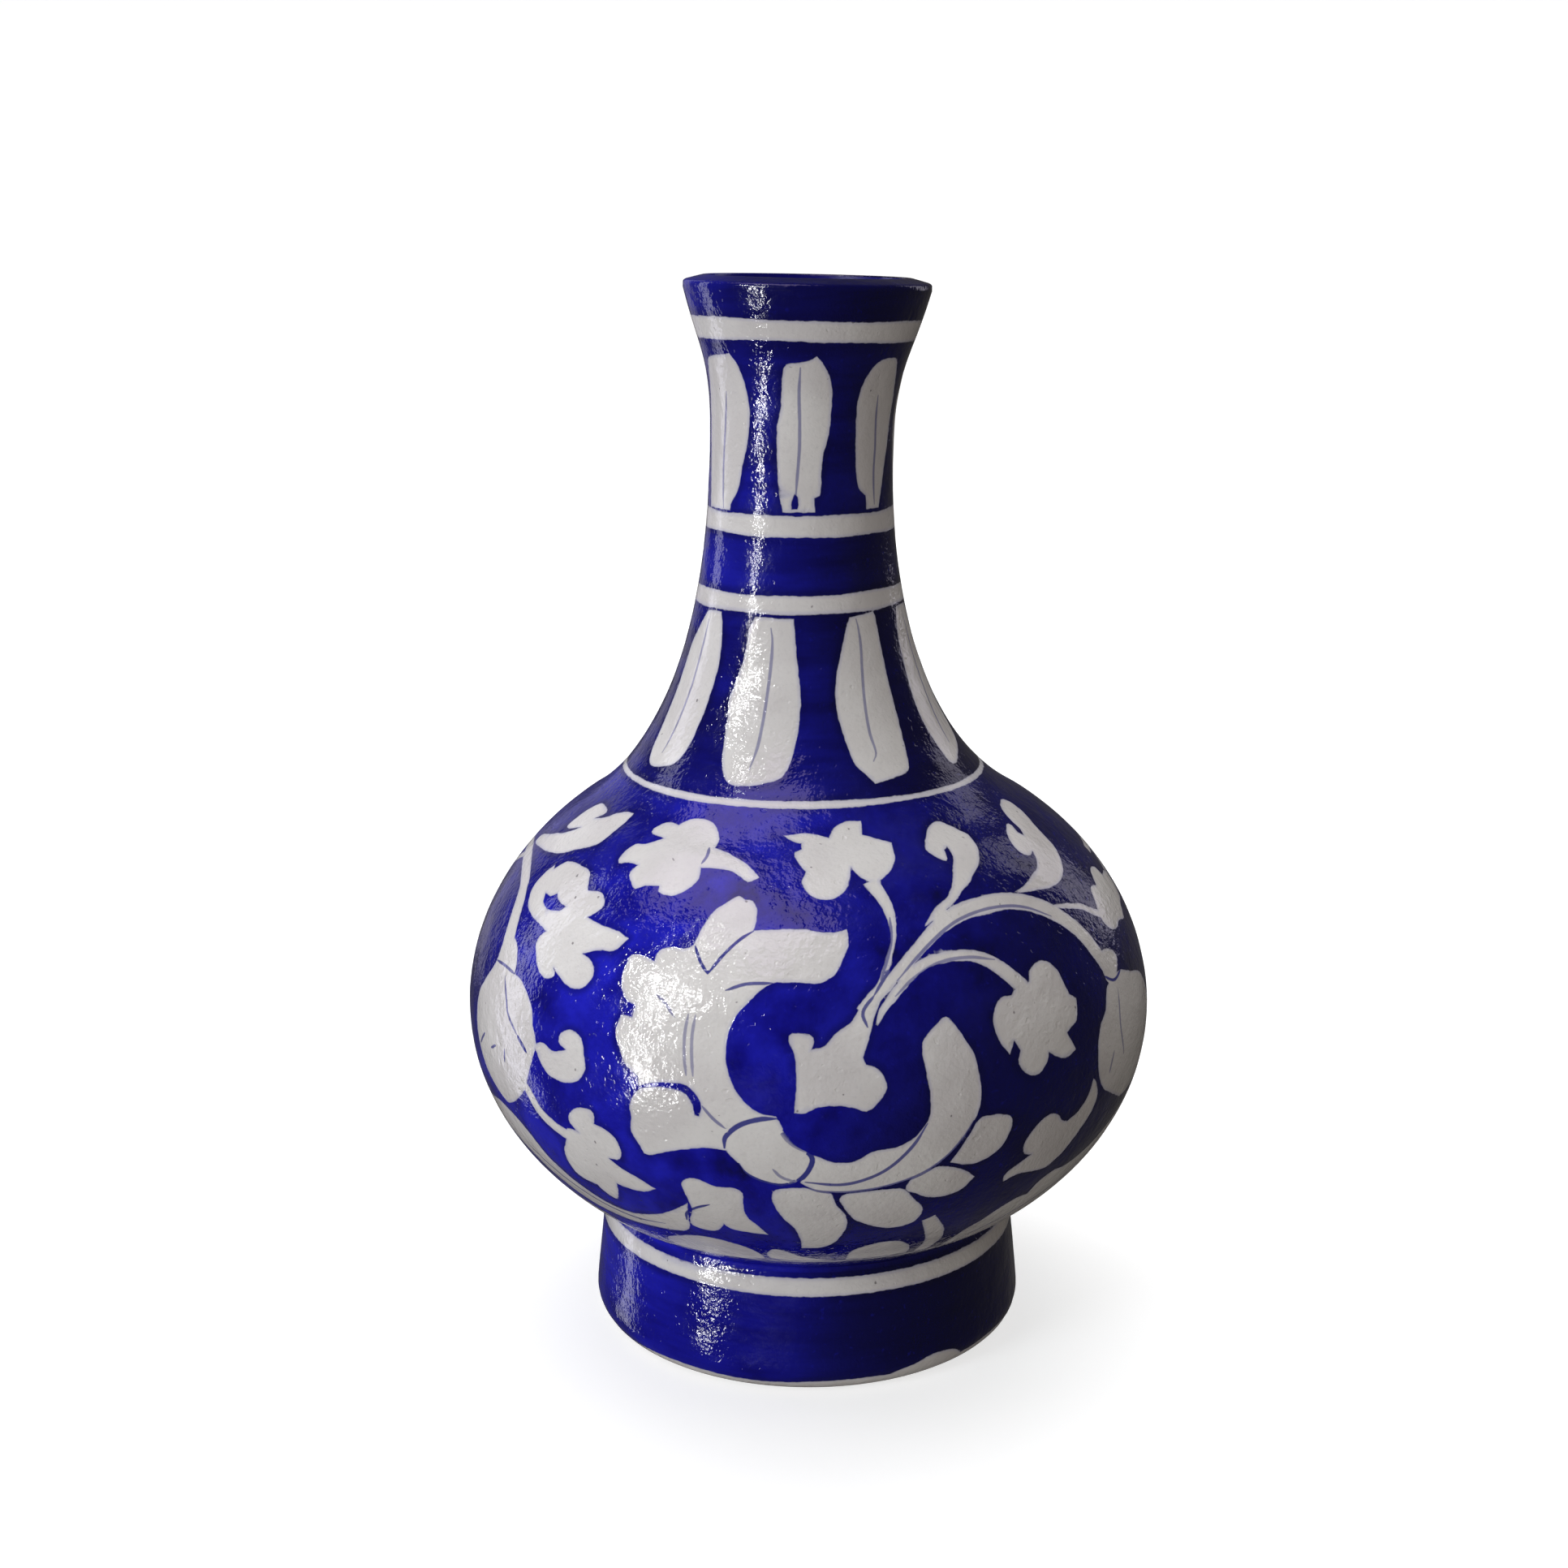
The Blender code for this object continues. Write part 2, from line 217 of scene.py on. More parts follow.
def skin_curve():
    """The whole outer face, with run 0 at the crease between the foot and the bowl."""
    crease_turn = -math.acos(SEAT_RADIUS / BELLY_RADIUS)
    foot = foot_points()
    bowl = bowl_points(LOWER_BOWL_DEPTH, crease_turn, 0.0, BOWL_STEPS)
    bowl += bowl_points(UPPER_BOWL_RISE, 0.0, SHOULDER_TURN, 110)[1:]
    r, z = bowl[-1]
    across = -BELLY_RADIUS * math.sin(SHOULDER_TURN)
    up = UPPER_BOWL_RISE * math.cos(SHOULDER_TURN)
    length = math.hypot(across, up)
    handle = (r + SHOULDER_PULL * across / length, z + SHOULDER_PULL * up / length)
    waist = (WAIST_RADIUS, z + NECK_RISE)
    neck = bezier((r, z), handle, (WAIST_RADIUS, waist[1] - NECK_PULL), waist, 150)
    lip = (MOUTH_RADIUS, waist[1] + MOUTH_RISE)
    length = math.hypot(MOUTH_SLOPE, 1.0)
    below_lip = (lip[0] - MOUTH_PULL * MOUTH_SLOPE / length, lip[1] - MOUTH_PULL / length)
    mouth = bezier(waist, (WAIST_RADIUS, waist[1] + WAIST_PULL), below_lip, lip, 60)
    crease = bezier(foot[-1], (foot[-1][0] - 0.3, foot[-1][1] + 0.35),
                    (bowl[0][0] - 0.25, bowl[0][1] - 0.25), bowl[0], 8)
    points = foot + crease[:-1] + bowl + neck + mouth
    zero = float(np.sum(np.hypot(*np.diff(np.array(foot + crease), axis=0).T)))
    return Curve(points, zero), z, waist[1]


SKIN, ROUND_TOP, WAIST_HEIGHT = skin_curve()
UNDERSIDE = Curve(bowl_points(LOWER_BOWL_DEPTH, -math.pi / 2, 0.0, BOWL_STEPS))
CREASE = SKIN.run_at_height(FOOT_HEIGHT - CREASE_DROP)
EQUATOR = SKIN.run_at_height(EQUATOR_HEIGHT)
SHOULDER = SKIN.run_at_height(ROUND_TOP + SHOULDER_JOINT_RISE)
COLLAR = SKIN.run_at_height(WAIST_HEIGHT - COLLAR_JOINT_DROP)
BOTTOM = float(SKIN.runs[0])
TOP = float(SKIN.runs[-1])
MEAN_RADII = 0.5 * (SKIN.points[1:, 0] + SKIN.points[:-1, 0])
ACROSS = np.concatenate(([0.0], np.cumsum(np.diff(SKIN.runs) / MEAN_RADII)))


def flat(turn, run):
    """Place on the flat sheet, in radians of turn, drawn so that shapes keep their angles."""
    return np.array((math.radians(turn), float(np.interp(run, SKIN.runs, ACROSS))))


def run_of(across):
    """Run of a height on the flat sheet."""
    return np.interp(across, ACROSS, SKIN.runs)


def thickness(run):
    """Wall thickness: the bowl's up to the shoulder joint, then thinning up to the lip."""
    share = min(max((run - SHOULDER) / (TOP - SHOULDER), 0.0), 1.0)
    return BELLY_WALL + (MOUTH_WALL - BELLY_WALL) * share


# ---------------------------------------------------------------- the painter's shapes

class Shape:
    """A painted shape on the flat sheet: its outline, and whether it is left white or painted blue."""

    def __init__(self, outline, white, spine=()):
        self.outline = outline
        self.white = white
        self.spine = spine

    def moved(self, turn):
        """The same shape further round the pot, by an angle in radians."""
        shift = np.array((turn, 0.0))
        spine = [p + shift for p in self.spine]
        return Shape([p + shift for p in self.outline], self.white, spine)


class Line:
    """A thin drawn line: its points, its half width at each, and how dark it is, from 0 to 1."""

    def __init__(self, points, halves, tone):
        self.points = points
        self.halves = halves
        self.tone = tone

    def moved(self, turn):
        """The same line further round the pot, by an angle in radians."""
        shift = np.array((turn, 0.0))
        return Line([p + shift for p in self.points], self.halves, self.tone)

    def dense(self, values):
        """The values at the line's points, with four steps between each two."""
        values = np.asarray(values, float)
        steps = [values[:-1] + (values[1:] - values[:-1]) * k / 4 for k in range(4)]
        return np.concatenate(steps + [values[-1:]])


def scale_at(point):
    """Millimetres on the wall for each radian on the flat sheet."""
    return float(SKIN.at(run_of(point[1]))[0])


def notches(spots):
    """Which corners of a closed outline bend inwards by more than NOTCH."""
    area = sum(a[0] * b[1] - a[1] * b[0] for a, b in zip(spots, spots[1:] + spots[:1]))
    found = []
    for i, spot in enumerate(spots):
        u = spot - spots[i - 1]
        v = spots[(i + 1) % len(spots)] - spot
        bend = math.atan2(u[0] * v[1] - u[1] * v[0], u[0] * v[0] + u[1] * v[1])
        found.append(bend * math.copysign(1.0, area) < -NOTCH)
    return found


def smooth(knots, closed, step=OUTLINE_STEP):
    """A smooth curve through (turn, run) knots, sharp at those marked TIP and in its notches."""
    spots = [flat(k[0], k[1]) for k in knots]
    sharp = [len(k) > 2 and k[2] == TIP for k in knots]
    if closed:
        sharp = [a or b for a, b in zip(sharp, notches(spots))]
    count = len(spots)
    points = []
    for i in range(count if closed else count - 1):
        j = (i + 1) % count
        a, b = spots[i], spots[j]
        before = spots[i - 1] if (closed or i > 0) and not sharp[i] else a
        after = spots[(j + 1) % count] if (closed or j < count - 1) and not sharp[j] else b
        reach = np.linalg.norm(b - a)
        lead = b - before
        trail = after - a
        lead = lead / max(np.linalg.norm(lead), 1e-9) * reach / 3
        trail = trail / max(np.linalg.norm(trail), 1e-9) * reach / 3
        pieces = max(1, round(reach * scale_at(a) / step))
        for k in range(pieces):
            t = k / pieces
            points.append((1 - t) ** 3 * a + 3 * (1 - t) ** 2 * t * (a + lead)
                          + 3 * (1 - t) * t * t * (b - trail) + t ** 3 * b)
    if not closed:
        points.append(spots[-1])
    return points


def white(*knots):
    """A shape left white."""
    return Shape(smooth(knots, True), True)


def blue(*knots):
    """A shape painted blue over white."""
    return Shape(smooth(knots, True), False)


def stem(*knots, is_white=True):
    """A stroke through (turn, run, width) knots."""
    middle = smooth([k[:2] for k in knots], False)
    lengths = np.concatenate(([0.0], np.cumsum([np.linalg.norm(b - a)
                                                for a, b in zip(middle, middle[1:])])))
    at_knots = []
    for turn, run, _ in knots:
        away = [np.linalg.norm(point - flat(turn, run)) for point in middle]
        at_knots.append(lengths[away.index(min(away))])
    widths = np.interp(lengths, at_knots, [k[2] for k in knots])
    left, right = [], []
    for i, point in enumerate(middle):
        ahead = middle[min(i + 1, len(middle) - 1)] - middle[max(i - 1, 0)]
        ahead = ahead / np.linalg.norm(ahead)
        side = np.array((-ahead[1], ahead[0])) * widths[i] / 2 / scale_at(point)
        left.append(point + side)
        right.append(point - side)
    return Shape(left + right[::-1], is_white, middle)


def line(*knots, width=0.58, tone=0.5):
    """A thin line through (turn, run) knots, fading to a point at both ends."""
    points = smooth(knots, False, 0.6)
    last = len(points) - 1
    halves = [width / 2 * min(1.0, 0.35 + 4 * min(i, last - i) / max(last, 1)) for i in range(last + 1)]
    return Line(points, halves, tone)


def wave(turn, seed):
    """An even wander round the pot that meets itself, from -1 to 1, for a turn in degrees."""
    t = math.radians(turn)
    return (0.5 * math.sin(2 * t + 1.7 * seed) + 0.3 * math.sin(3 * t + 2.9 * seed)
            + 0.2 * math.sin(7 * t + 4.1 * seed))


def band(low, high, wander=0.25, seed=1.0, is_white=True):
    """A ring between two runs, whose edges wander a little."""
    turns = range(-184, 185, 2)
    lower = [flat(t, low + wander * wave(t, seed)) for t in turns]
    upper = [flat(t, high + wander * wave(t, seed + 0.7)) for t in turns]
    return Shape(lower + upper[::-1], is_white)


def bands():
    """The white rings round the mouth, neck, shoulder and foot, and the bare edge of the foot."""
    foot_low = SKIN.run_at_height(19.5)
    foot_high = SKIN.run_at_height(22.75)
    edge = SKIN.run_at_height(2.3)
    return [
        band(194.4, 198.4, 0.3, 1.0),
        band(159.1, 163.0, 0.35, 2.0),
        band(145.3, 148.6, 0.3, 3.0),
        band(109.2, 110.5, 0.3, 4.0),
        band(8.1, 9.2, 0.25, 5.0),
        band(foot_low, foot_high, 0.2, 6.0),
        band(BOTTOM - 1.0, edge, 1.7, 7.0),
    ]


def upper_petals():
    """Seven long petals between the two upper rings."""
    left = [(-69.9, 190.2), (-61.7, 191.1), (-52.1, 191.5), (-45.3, 191.8, TIP), (-41.2, 190.2),
            (-37.1, 187), (-35, 184.3), (-33.6, 181.1), (-35, 175.6), (-38.4, 171.1), (-41.2, 167),
            (-46.6, 164.3), (-47, 163.3, TIP), (-70.6, 163.3, TIP), (-72.7, 167.9), (-75.4, 172.5),
            (-76.8, 178.8), (-74.7, 185.2)]
    left_vein = [(-52.1, 184.7), (-54.2, 178.4), (-55.1, 171.5), (-54.2, 166.1), (-53.2, 163.6)]
    middle = [(-10.3, 190.2), (-2.8, 190.6), (4, 191.3), (6.1, 191.8, TIP), (9.5, 190.6), (13.6, 188.4),
              (16.4, 185.6), (17.1, 182.5), (16.4, 177.9), (13.6, 174.3), (12.3, 170.6), (11.6, 166.5),
              (8.2, 166.1, TIP), (8.8, 163.6, TIP), (-10.3, 163.6, TIP), (-12.4, 166.1), (-13.8, 169.7),
              (-15.1, 175.2), (-15.4, 179.3, TIP), (-13.5, 181.5), (-13.1, 185.2), (-12.4, 188.4)]
    middle_vein = [(-2.5, 189.7), (-2.8, 185.2), (-1.7, 179.7), (-1.4, 174.3), (-2.8, 166.1)]
    right = [(44.5, 190.6), (58.8, 191.3), (62.9, 190.2), (67.1, 187), (69.8, 182.5), (67.1, 175.6),
             (62.9, 170.6), (58.8, 166.1), (56.1, 163.6, TIP), (44.5, 163.6, TIP), (43.8, 166.1, TIP),
             (38.3, 167.5), (36.2, 170.6), (34.9, 177.5), (34.2, 183.4, TIP), (37.6, 187.5)]
    right_vein = [(50.6, 184.3), (52, 175.2), (51.3, 169.3), (51.7, 164.3)]
    shapes = []
    for outline, vein, turns in ((left, left_vein, (0, 155, -102)), (middle, middle_vein, (0, 155)),
                                 (right, right_vein, (0, 155 - 102))):
        for turn in turns:
            shapes.append(white(*shifted(outline, turn)))
            shapes.append(line(*shifted(vein, turn), tone=0.45))
    shapes.append(blue((-5.5, 164), (-3.5, 166.8), (-1.5, 166.3), (-1.8, 164.2)))
    return shapes


def shifted(knots, turn):
    """The same knots further round the pot."""
    return [(k[0] + turn, *k[1:]) for k in knots]


def lower_petals():
    """Eight long petals that hang from the lower ring to the shoulder."""
    first = [(-66.5, 139.2), (-68.5, 137.3), (-69.6, 132.7), (-69.6, 126.9), (-68.9, 121.2), (-66.9, 116.2),
             (-63, 113.7), (-59.8, 113.5), (-53.5, 114.2), (-48.8, 115.4), (-45.6, 118.5), (-44.1, 123.1),
             (-42.5, 128.5), (-41.3, 134.6), (-42.1, 139.2), (-44.1, 143.1), (-45.6, 144.8, TIP),
             (-55.9, 144.6), (-60.6, 142.7)]
    second = [(-23.6, 144.6, TIP), (-26.3, 142.3), (-27.1, 137.3), (-29.9, 131.9), (-31.5, 128.5),
              (-30.7, 126.9), (-29.5, 121.2), (-27.5, 116.2), (-24, 113.5), (-18.1, 113.3), (-11, 114.2),
              (-6.3, 115.4), (-3.1, 118.8), (-1.1, 123.1), (0.5, 128.5), (0.1, 132.7), (-1.5, 138.5),
              (-2.3, 142.3), (-3.1, 144.4, TIP)]
    second_vein = [(-14.5, 142.7), (-13.3, 140), (-13.7, 132.7), (-15.7, 121.2), (-17.7, 116.5)]
    third = [(27.3, 144.4, TIP), (43, 145, TIP), (44.2, 144.2), (44.8, 138.5), (44.6, 130.8), (43.8, 125),
             (42.2, 120), (40.7, 116.9), (38.7, 115), (32.8, 114.2), (24.5, 113.5, TIP), (21.8, 115.8),
             (19.4, 117.3), (17.8, 121.2), (16.3, 125.4), (15.6, 128.5), (16.7, 132.7), (19.4, 136.5),
             (22.6, 140), (25.7, 143.1)]
    third_vein = [(31.2, 144), (32, 142.3), (32.2, 139.2), (30.8, 134.6), (28.9, 128.1), (28.2, 123.1),
                  (28.5, 119.2), (26.5, 117.7)]
    fourth = [(65.9, 145, TIP), (64.3, 144.2), (61.1, 140), (60.4, 135), (58.8, 128.5), (58.4, 125),
              (59.2, 120.8), (60.4, 117.3), (62.7, 113.8), (72.2, 115), (80, 116.9), (84.5, 119.5),
              (87, 125), (88.5, 131), (88, 137), (85, 142), (82, 144.8, TIP)]
    fourth_vein = [(73.5, 143.5), (74.5, 138), (73.5, 130), (71.5, 122), (70.5, 117.5)]
    first_vein = [(-55, 143), (-56, 137), (-56.5, 129), (-57.5, 121), (-58.5, 116.5)]
    shapes = []
    for outline, vein in ((first, first_vein), (second, second_vein), (third, third_vein),
                          (fourth, fourth_vein)):
        for turn in (0, 180):
            shapes.append(white(*shifted(outline, turn)))
            shapes.append(line(*shifted(vein, turn), tone=0.4))
    return shapes


def shoulder_flowers():
    """The flowers, hooked leaf and split leaves under the shoulder line."""
    return [
        white((-45.3, 93.7), (-43.7, 97), (-40.9, 97.6), (-36.9, 99.9, TIP), (-41.9, 100.75), (-40.5, 103),
              (-38.3, 103.7), (-35.1, 103.5, TIP), (-32.6, 105.1), (-29, 105.7), (-25.4, 105.1),
              (-22.9, 103.25), (-21.8, 101), (-22.2, 99.5), (-19.3, 98.9), (-15.7, 97.6), (-12.9, 96.2),
              (-10.2, 93.8, TIP), (-12.3, 92.75), (-15, 94.2), (-17.9, 94.9), (-23.6, 94.8, TIP),
              (-23.1, 92.4), (-24.7, 89.9), (-27.6, 88.25), (-30.8, 88.7), (-31.2, 89.7, TIP),
              (-34.4, 89.3), (-36.2, 88.25), (-38.3, 89.5), (-39.8, 91.2), (-38.9, 93, TIP), (-41.9, 93),
              (-44.4, 92.4)),
        line((-23.8, 95.6), (-23.2, 97.5), (-23.6, 99.5), tone=0.6),
        white((-5.5, 103.5, TIP), (0.8, 104.1), (6.2, 103, TIP), (7.9, 105.1), (11.5, 106.4),
              (15.9, 106.3, TIP), (15.05, 103.4, TIP), (18.5, 102.2), (21.7, 101, TIP), (20.6, 97.4),
              (18.5, 94.9), (15.9, 93.25), (13.5, 92.6), (10.5, 94.9), (9.9, 96.2, TIP), (9, 93.7),
              (7.2, 90.75), (4.4, 89.5), (1.1, 90.1), (-1, 92.8), (-0.1, 95.3, TIP), (-2.1, 97.8),
              (-2.5, 99.5), (-0.9, 100.5, TIP), (-0.9, 101.8), (-2.8, 102.2)),
        stem((13.2, 92.9, 3.0), (15.2, 88.5, 2.2), (15.6, 85, 1.5), (15.2, 81.5, 0.7), (14, 78.5, 1.0),
             (12.3, 74.5, 1.3), (10.4, 70.9, 1.3), (9.4, 68.6, 0.5)),
        white((29.4, 98.5), (31.4, 101), (35, 103.5), (38.2, 104.1), (40.7, 103), (44.1, 99.9, TIP),
              (43.2, 96.6), (40.7, 93.7), (37.1, 91.6), (35, 90.1), (32.1, 88.7), (29.6, 87), (21.7, 83.25),
              (22.8, 84.5), (25.3, 86.6), (28.2, 88), (30.7, 90.3), (32.8, 93.25), (35, 96),
              (35.3, 98.25, TIP), (33.9, 97.6), (33.5, 96.4), (32.6, 95.3), (30.3, 96.8)),
        white((44.3, 86.2, TIP), (47.9, 86.8), (51.5, 88), (55.1, 88.9), (57.2, 90.3), (58.5, 92.1, TIP),
              (56.5, 91.6), (54.4, 92.8), (54.2, 94.5), (55.4, 96.6), (57.9, 98.25), (60.8, 98.9),
              (60.1, 96.6), (61.2, 95.5, TIP), (62.25, 96.6), (63, 98.7), (65.1, 101.6), (68, 103),
              (72, 103.25), (74, 101), (69.8, 95.3), (68, 90.3), (65.1, 87.4), (62.25, 85.75), (58.3, 84.7),
              (54.4, 84.7), (49.7, 85.3), (46.1, 85.75)),
        white((-53.1, 103.25, TIP), (-56.3, 103), (-59.9, 101.8), (-62.7, 99.9), (-66, 98.7, TIP),
              (-64.5, 101), (-67.8, 101.8), (-71.7, 101.8), (-73.9, 99.9), (-74.6, 96.6), (-73.9, 93.7),
              (-67.5, 95.6, TIP), (-71.7, 92.8), (-75, 91.6), (-79.6, 89.9), (-85, 87.8), (-85, 86.2),
              (-77.8, 87), (-70.6, 88), (-64.9, 89.5), (-60.6, 91.6), (-56.3, 93.7), (-54.5, 95.3),
              (-53.4, 99.5)),
    ]


def side_stems():
    """The two arched stems, the thin stems to the sides, and the stem from the left."""
    return [
        stem((10.4, 70.2, 0.9), (12.5, 73, 1.9), (16.7, 77, 2.2), (21, 80.6, 2.4), (25.5, 83.4, 3.0),
             (30, 84.9, 3.2), (35, 85.3, 3.5), (40, 85.2, 3.4), (45, 83.9, 3.4), (49.5, 81.5, 3.6),
             (53, 78.4, 3.4), (55.7, 75, 3.4), (57.6, 71, 3.6), (59, 67.5, 3.2)),
        line((14.6, 74), (18.4, 77.5), (22.9, 80.8), (28, 83.3), (34, 84.4), (40, 84.2), (45, 82.8),
             (50, 79.8), tone=0.5),
        line((33, 75.3), (28, 76.6), (22.5, 76.4), (17.5, 74.2), (14, 71.4), tone=0.4),
        line((15.4, 85.5), (14.8, 81.5), (13.6, 78.2), (12, 74.6), tone=0.5),
        stem((10.6, 66.8, 0.4), (11.8, 69.2, 1.2), (13.4, 71.2, 1.6), (16.7, 74.5, 1.8), (19.9, 76.6, 1.9),
             (23.8, 77.2, 1.9), (27.8, 77, 2.0), (31, 75.75, 2.4), (33.5, 73.7, 2.7), (36.6, 70, 3.0),
             (38, 67.5, 2.6)),
        stem((50.5, 81.6, 0.4), (55, 80.6, 0.9), (60.5, 78.9, 1.3), (64, 76.6, 1.5), (68, 74.5, 1.8)),
        white((66, 73), (69, 71.5), (73, 72), (77, 71, TIP), (80, 73), (84, 73.5), (87, 76), (85, 79),
              (80.5, 79.5, TIP), (79, 82), (75, 82.5), (72, 80), (68.5, 80.5), (66.5, 78, TIP), (65, 75.5)),
        stem((-94, 84, 2.0), (-85, 84, 3), (-77, 83, 3), (-71, 81, 3), (-67.5, 78, 3.5), (-65, 74, 4),
             (-63, 70, 4.5), (-62, 67, 4.5)),
        line((-68.5, 81.2), (-65.5, 79), (-62.7, 76.6), tone=0.8),
        stem((84, 76.5, 1.6), (90, 80, 1.5), (96, 83.5, 1.8)),
    ]


def left_flowers():
    """The flowers, bud and hook on the left of the belly."""
    return [
        white((-63.5, 87), (-62.7, 86.2), (-60.2, 88.7), (-54.5, 89.3), (-50.5, 88.7), (-48.4, 86.2),
              (-47.7, 85.5, TIP), (-43.7, 85.75), (-41.6, 83.7), (-43, 81.6), (-44.1, 80.75, TIP),
              (-40.1, 80.1), (-35.5, 79.7), (-33, 78.9, TIP), (-35.1, 76.2), (-38.3, 75.75),
              (-41.4, 74.3, TIP), (-38.7, 73.25), (-37.6, 71.1), (-39.1, 68.6), (-41.9, 68), (-44.4, 69),
              (-47, 70.25, TIP), (-46.2, 69), (-48, 68), (-50.2, 68.6), (-52.7, 71.1), (-54.1, 73.7),
              (-52.7, 75.75, TIP), (-54.9, 76.2), (-59.9, 77), (-63.5, 78.5), (-65.5, 82)),
        blue((-58.5, 80.2), (-55.5, 79.4), (-52.2, 80.0), (-50.8, 81.2, TIP), (-53.6, 81.5),
             (-55.8, 82.6, TIP), (-57.4, 81.6), (-59.6, 81.8, TIP)),
        white((-64.5, 71.5), (-59.9, 71.1), (-57.7, 68.6), (-57, 66.1), (-54.5, 65.7), (-52, 64.2),
              (-49.6, 61.9), (-48.7, 59.4), (-47.7, 57.3), (-47.3, 56), (-48, 53.2), (-49.5, 49),
              (-50.5, 46.5), (-53.8, 43.2), (-56.3, 41.5), (-59.2, 40.7), (-66, 45), (-70, 52), (-70, 58),
              (-67.5, 62), (-65, 66)),
        line((-59.9, 64.4), (-57.5, 61), (-56.3, 59), (-52.7, 56.1), tone=0.7),
        line((-52.7, 56.1), (-51, 54.8), (-49.7, 53.8), tone=0.9, width=0.8),
        line((-56.6, 52), (-56.6, 49.5), tone=0.7),
        line((-62, 50.3), (-59.9, 51.5), tone=0.7),
        line((-67.8, 49), (-66.2, 50.8), (-65, 52), tone=0.7),
        line((-65, 66.2), (-61, 66.4), (-57, 66.1), tone=0.7),
        white((-47.5, 55.7), (-45.5, 56.9), (-43.4, 56.1), (-41.6, 56.5), (-40.3, 57.2, TIP), (-41.9, 58.2),
              (-41.6, 59.8), (-39.4, 60.9), (-37.3, 60), (-36.4, 57.3), (-36, 54.8), (-37.3, 52.5),
              (-40.1, 51.2), (-43.4, 51.3), (-45.5, 52.75), (-46.8, 54.6)),
        white((-38.7, 46.5), (-35.8, 47.5), (-34.6, 46.9), (-34.75, 44.8, TIP), (-31.9, 44), (-30.3, 41.5),
              (-30.8, 38.6), (-33, 38, TIP), (-31.5, 36.7), (-30.1, 35.9), (-27.2, 34.25), (-25.3, 33, TIP),
              (-27.9, 31.5), (-30.8, 31.3), (-33.3, 31.75, TIP), (-33.7, 30.1), (-34.4, 28), (-35.8, 26.3),
              (-38, 28), (-38.7, 29.25), (-42.6, 30.1), (-43.7, 32.6), (-43.5, 36), (-41.9, 39),
              (-40.9, 41.9), (-38.3, 41.9, TIP), (-40.1, 44)),
        stem((-50.6, 47.6, 1.6), (-49.8, 46.5, 2.2), (-47.3, 43.2, 2.2), (-43.7, 41.1, 2.2),
             (-40.9, 40.3, 2.4)),
    ]


def low_left():
    """The small flower, its long stem, and the long pale leaf low on the left."""
    return [
        white((-20.1, 35.9), (-18.6, 37.4), (-16.5, 37), (-14.3, 36.1), (-11.4, 36.1), (-10.2, 35),
              (-10.4, 32.6), (-10, 28.8), (-8.4, 25.9), (-6.9, 23.0, TIP), (-11.8, 23.6), (-13.6, 24.25),
              (-14.5, 25.7, TIP), (-15.4, 23.8), (-16.8, 22.4), (-19, 22.4), (-20.8, 23.4), (-20.8, 25.5),
              (-19.6, 28.5), (-19.7, 31.75), (-20.1, 33.8)),
        line((-21.5, 25), (-20.8, 27.6), (-18.6, 29.7), (-16.1, 31.1), tone=0.8),
        white((-80, 45), (-70, 37.5), (-62, 39), (-55, 37), (-50, 31), (-45, 26.5), (-40, 23.5),
              (-35, 22.5), (-30.8, 23.4), (-26.2, 25.5), (-22.9, 28), (-20.1, 30.5, TIP), (-21.1, 25.1),
              (-21.8, 22.2), (-23.6, 20.1), (-29, 19), (-38, 18.4), (-46, 20), (-53, 24), (-60, 29),
              (-70, 33.5), (-80, 41)),
        line((-58, 31.5), (-50, 26.5), (-42, 22.5), (-34, 20.8), (-27, 21.6), tone=0.6),
        white((-76, 12), (-66, 16), (-58, 19), (-50, 17.5), (-44, 13.5), (-41, 10.5, TIP), (-47, 10),
              (-58, 9.4), (-68, 9.2), (-76, 9.3)),
        line((-70, 13), (-60, 15.5), (-50, 13), tone=0.5),
        white((-30, 9.4), (-30, 14), (-25.4, 17.2), (-21.8, 18.8), (-17.9, 19), (-14.7, 18), (-11.4, 15.9),
              (-9.6, 13), (-9, 9.4, TIP)),
    ]


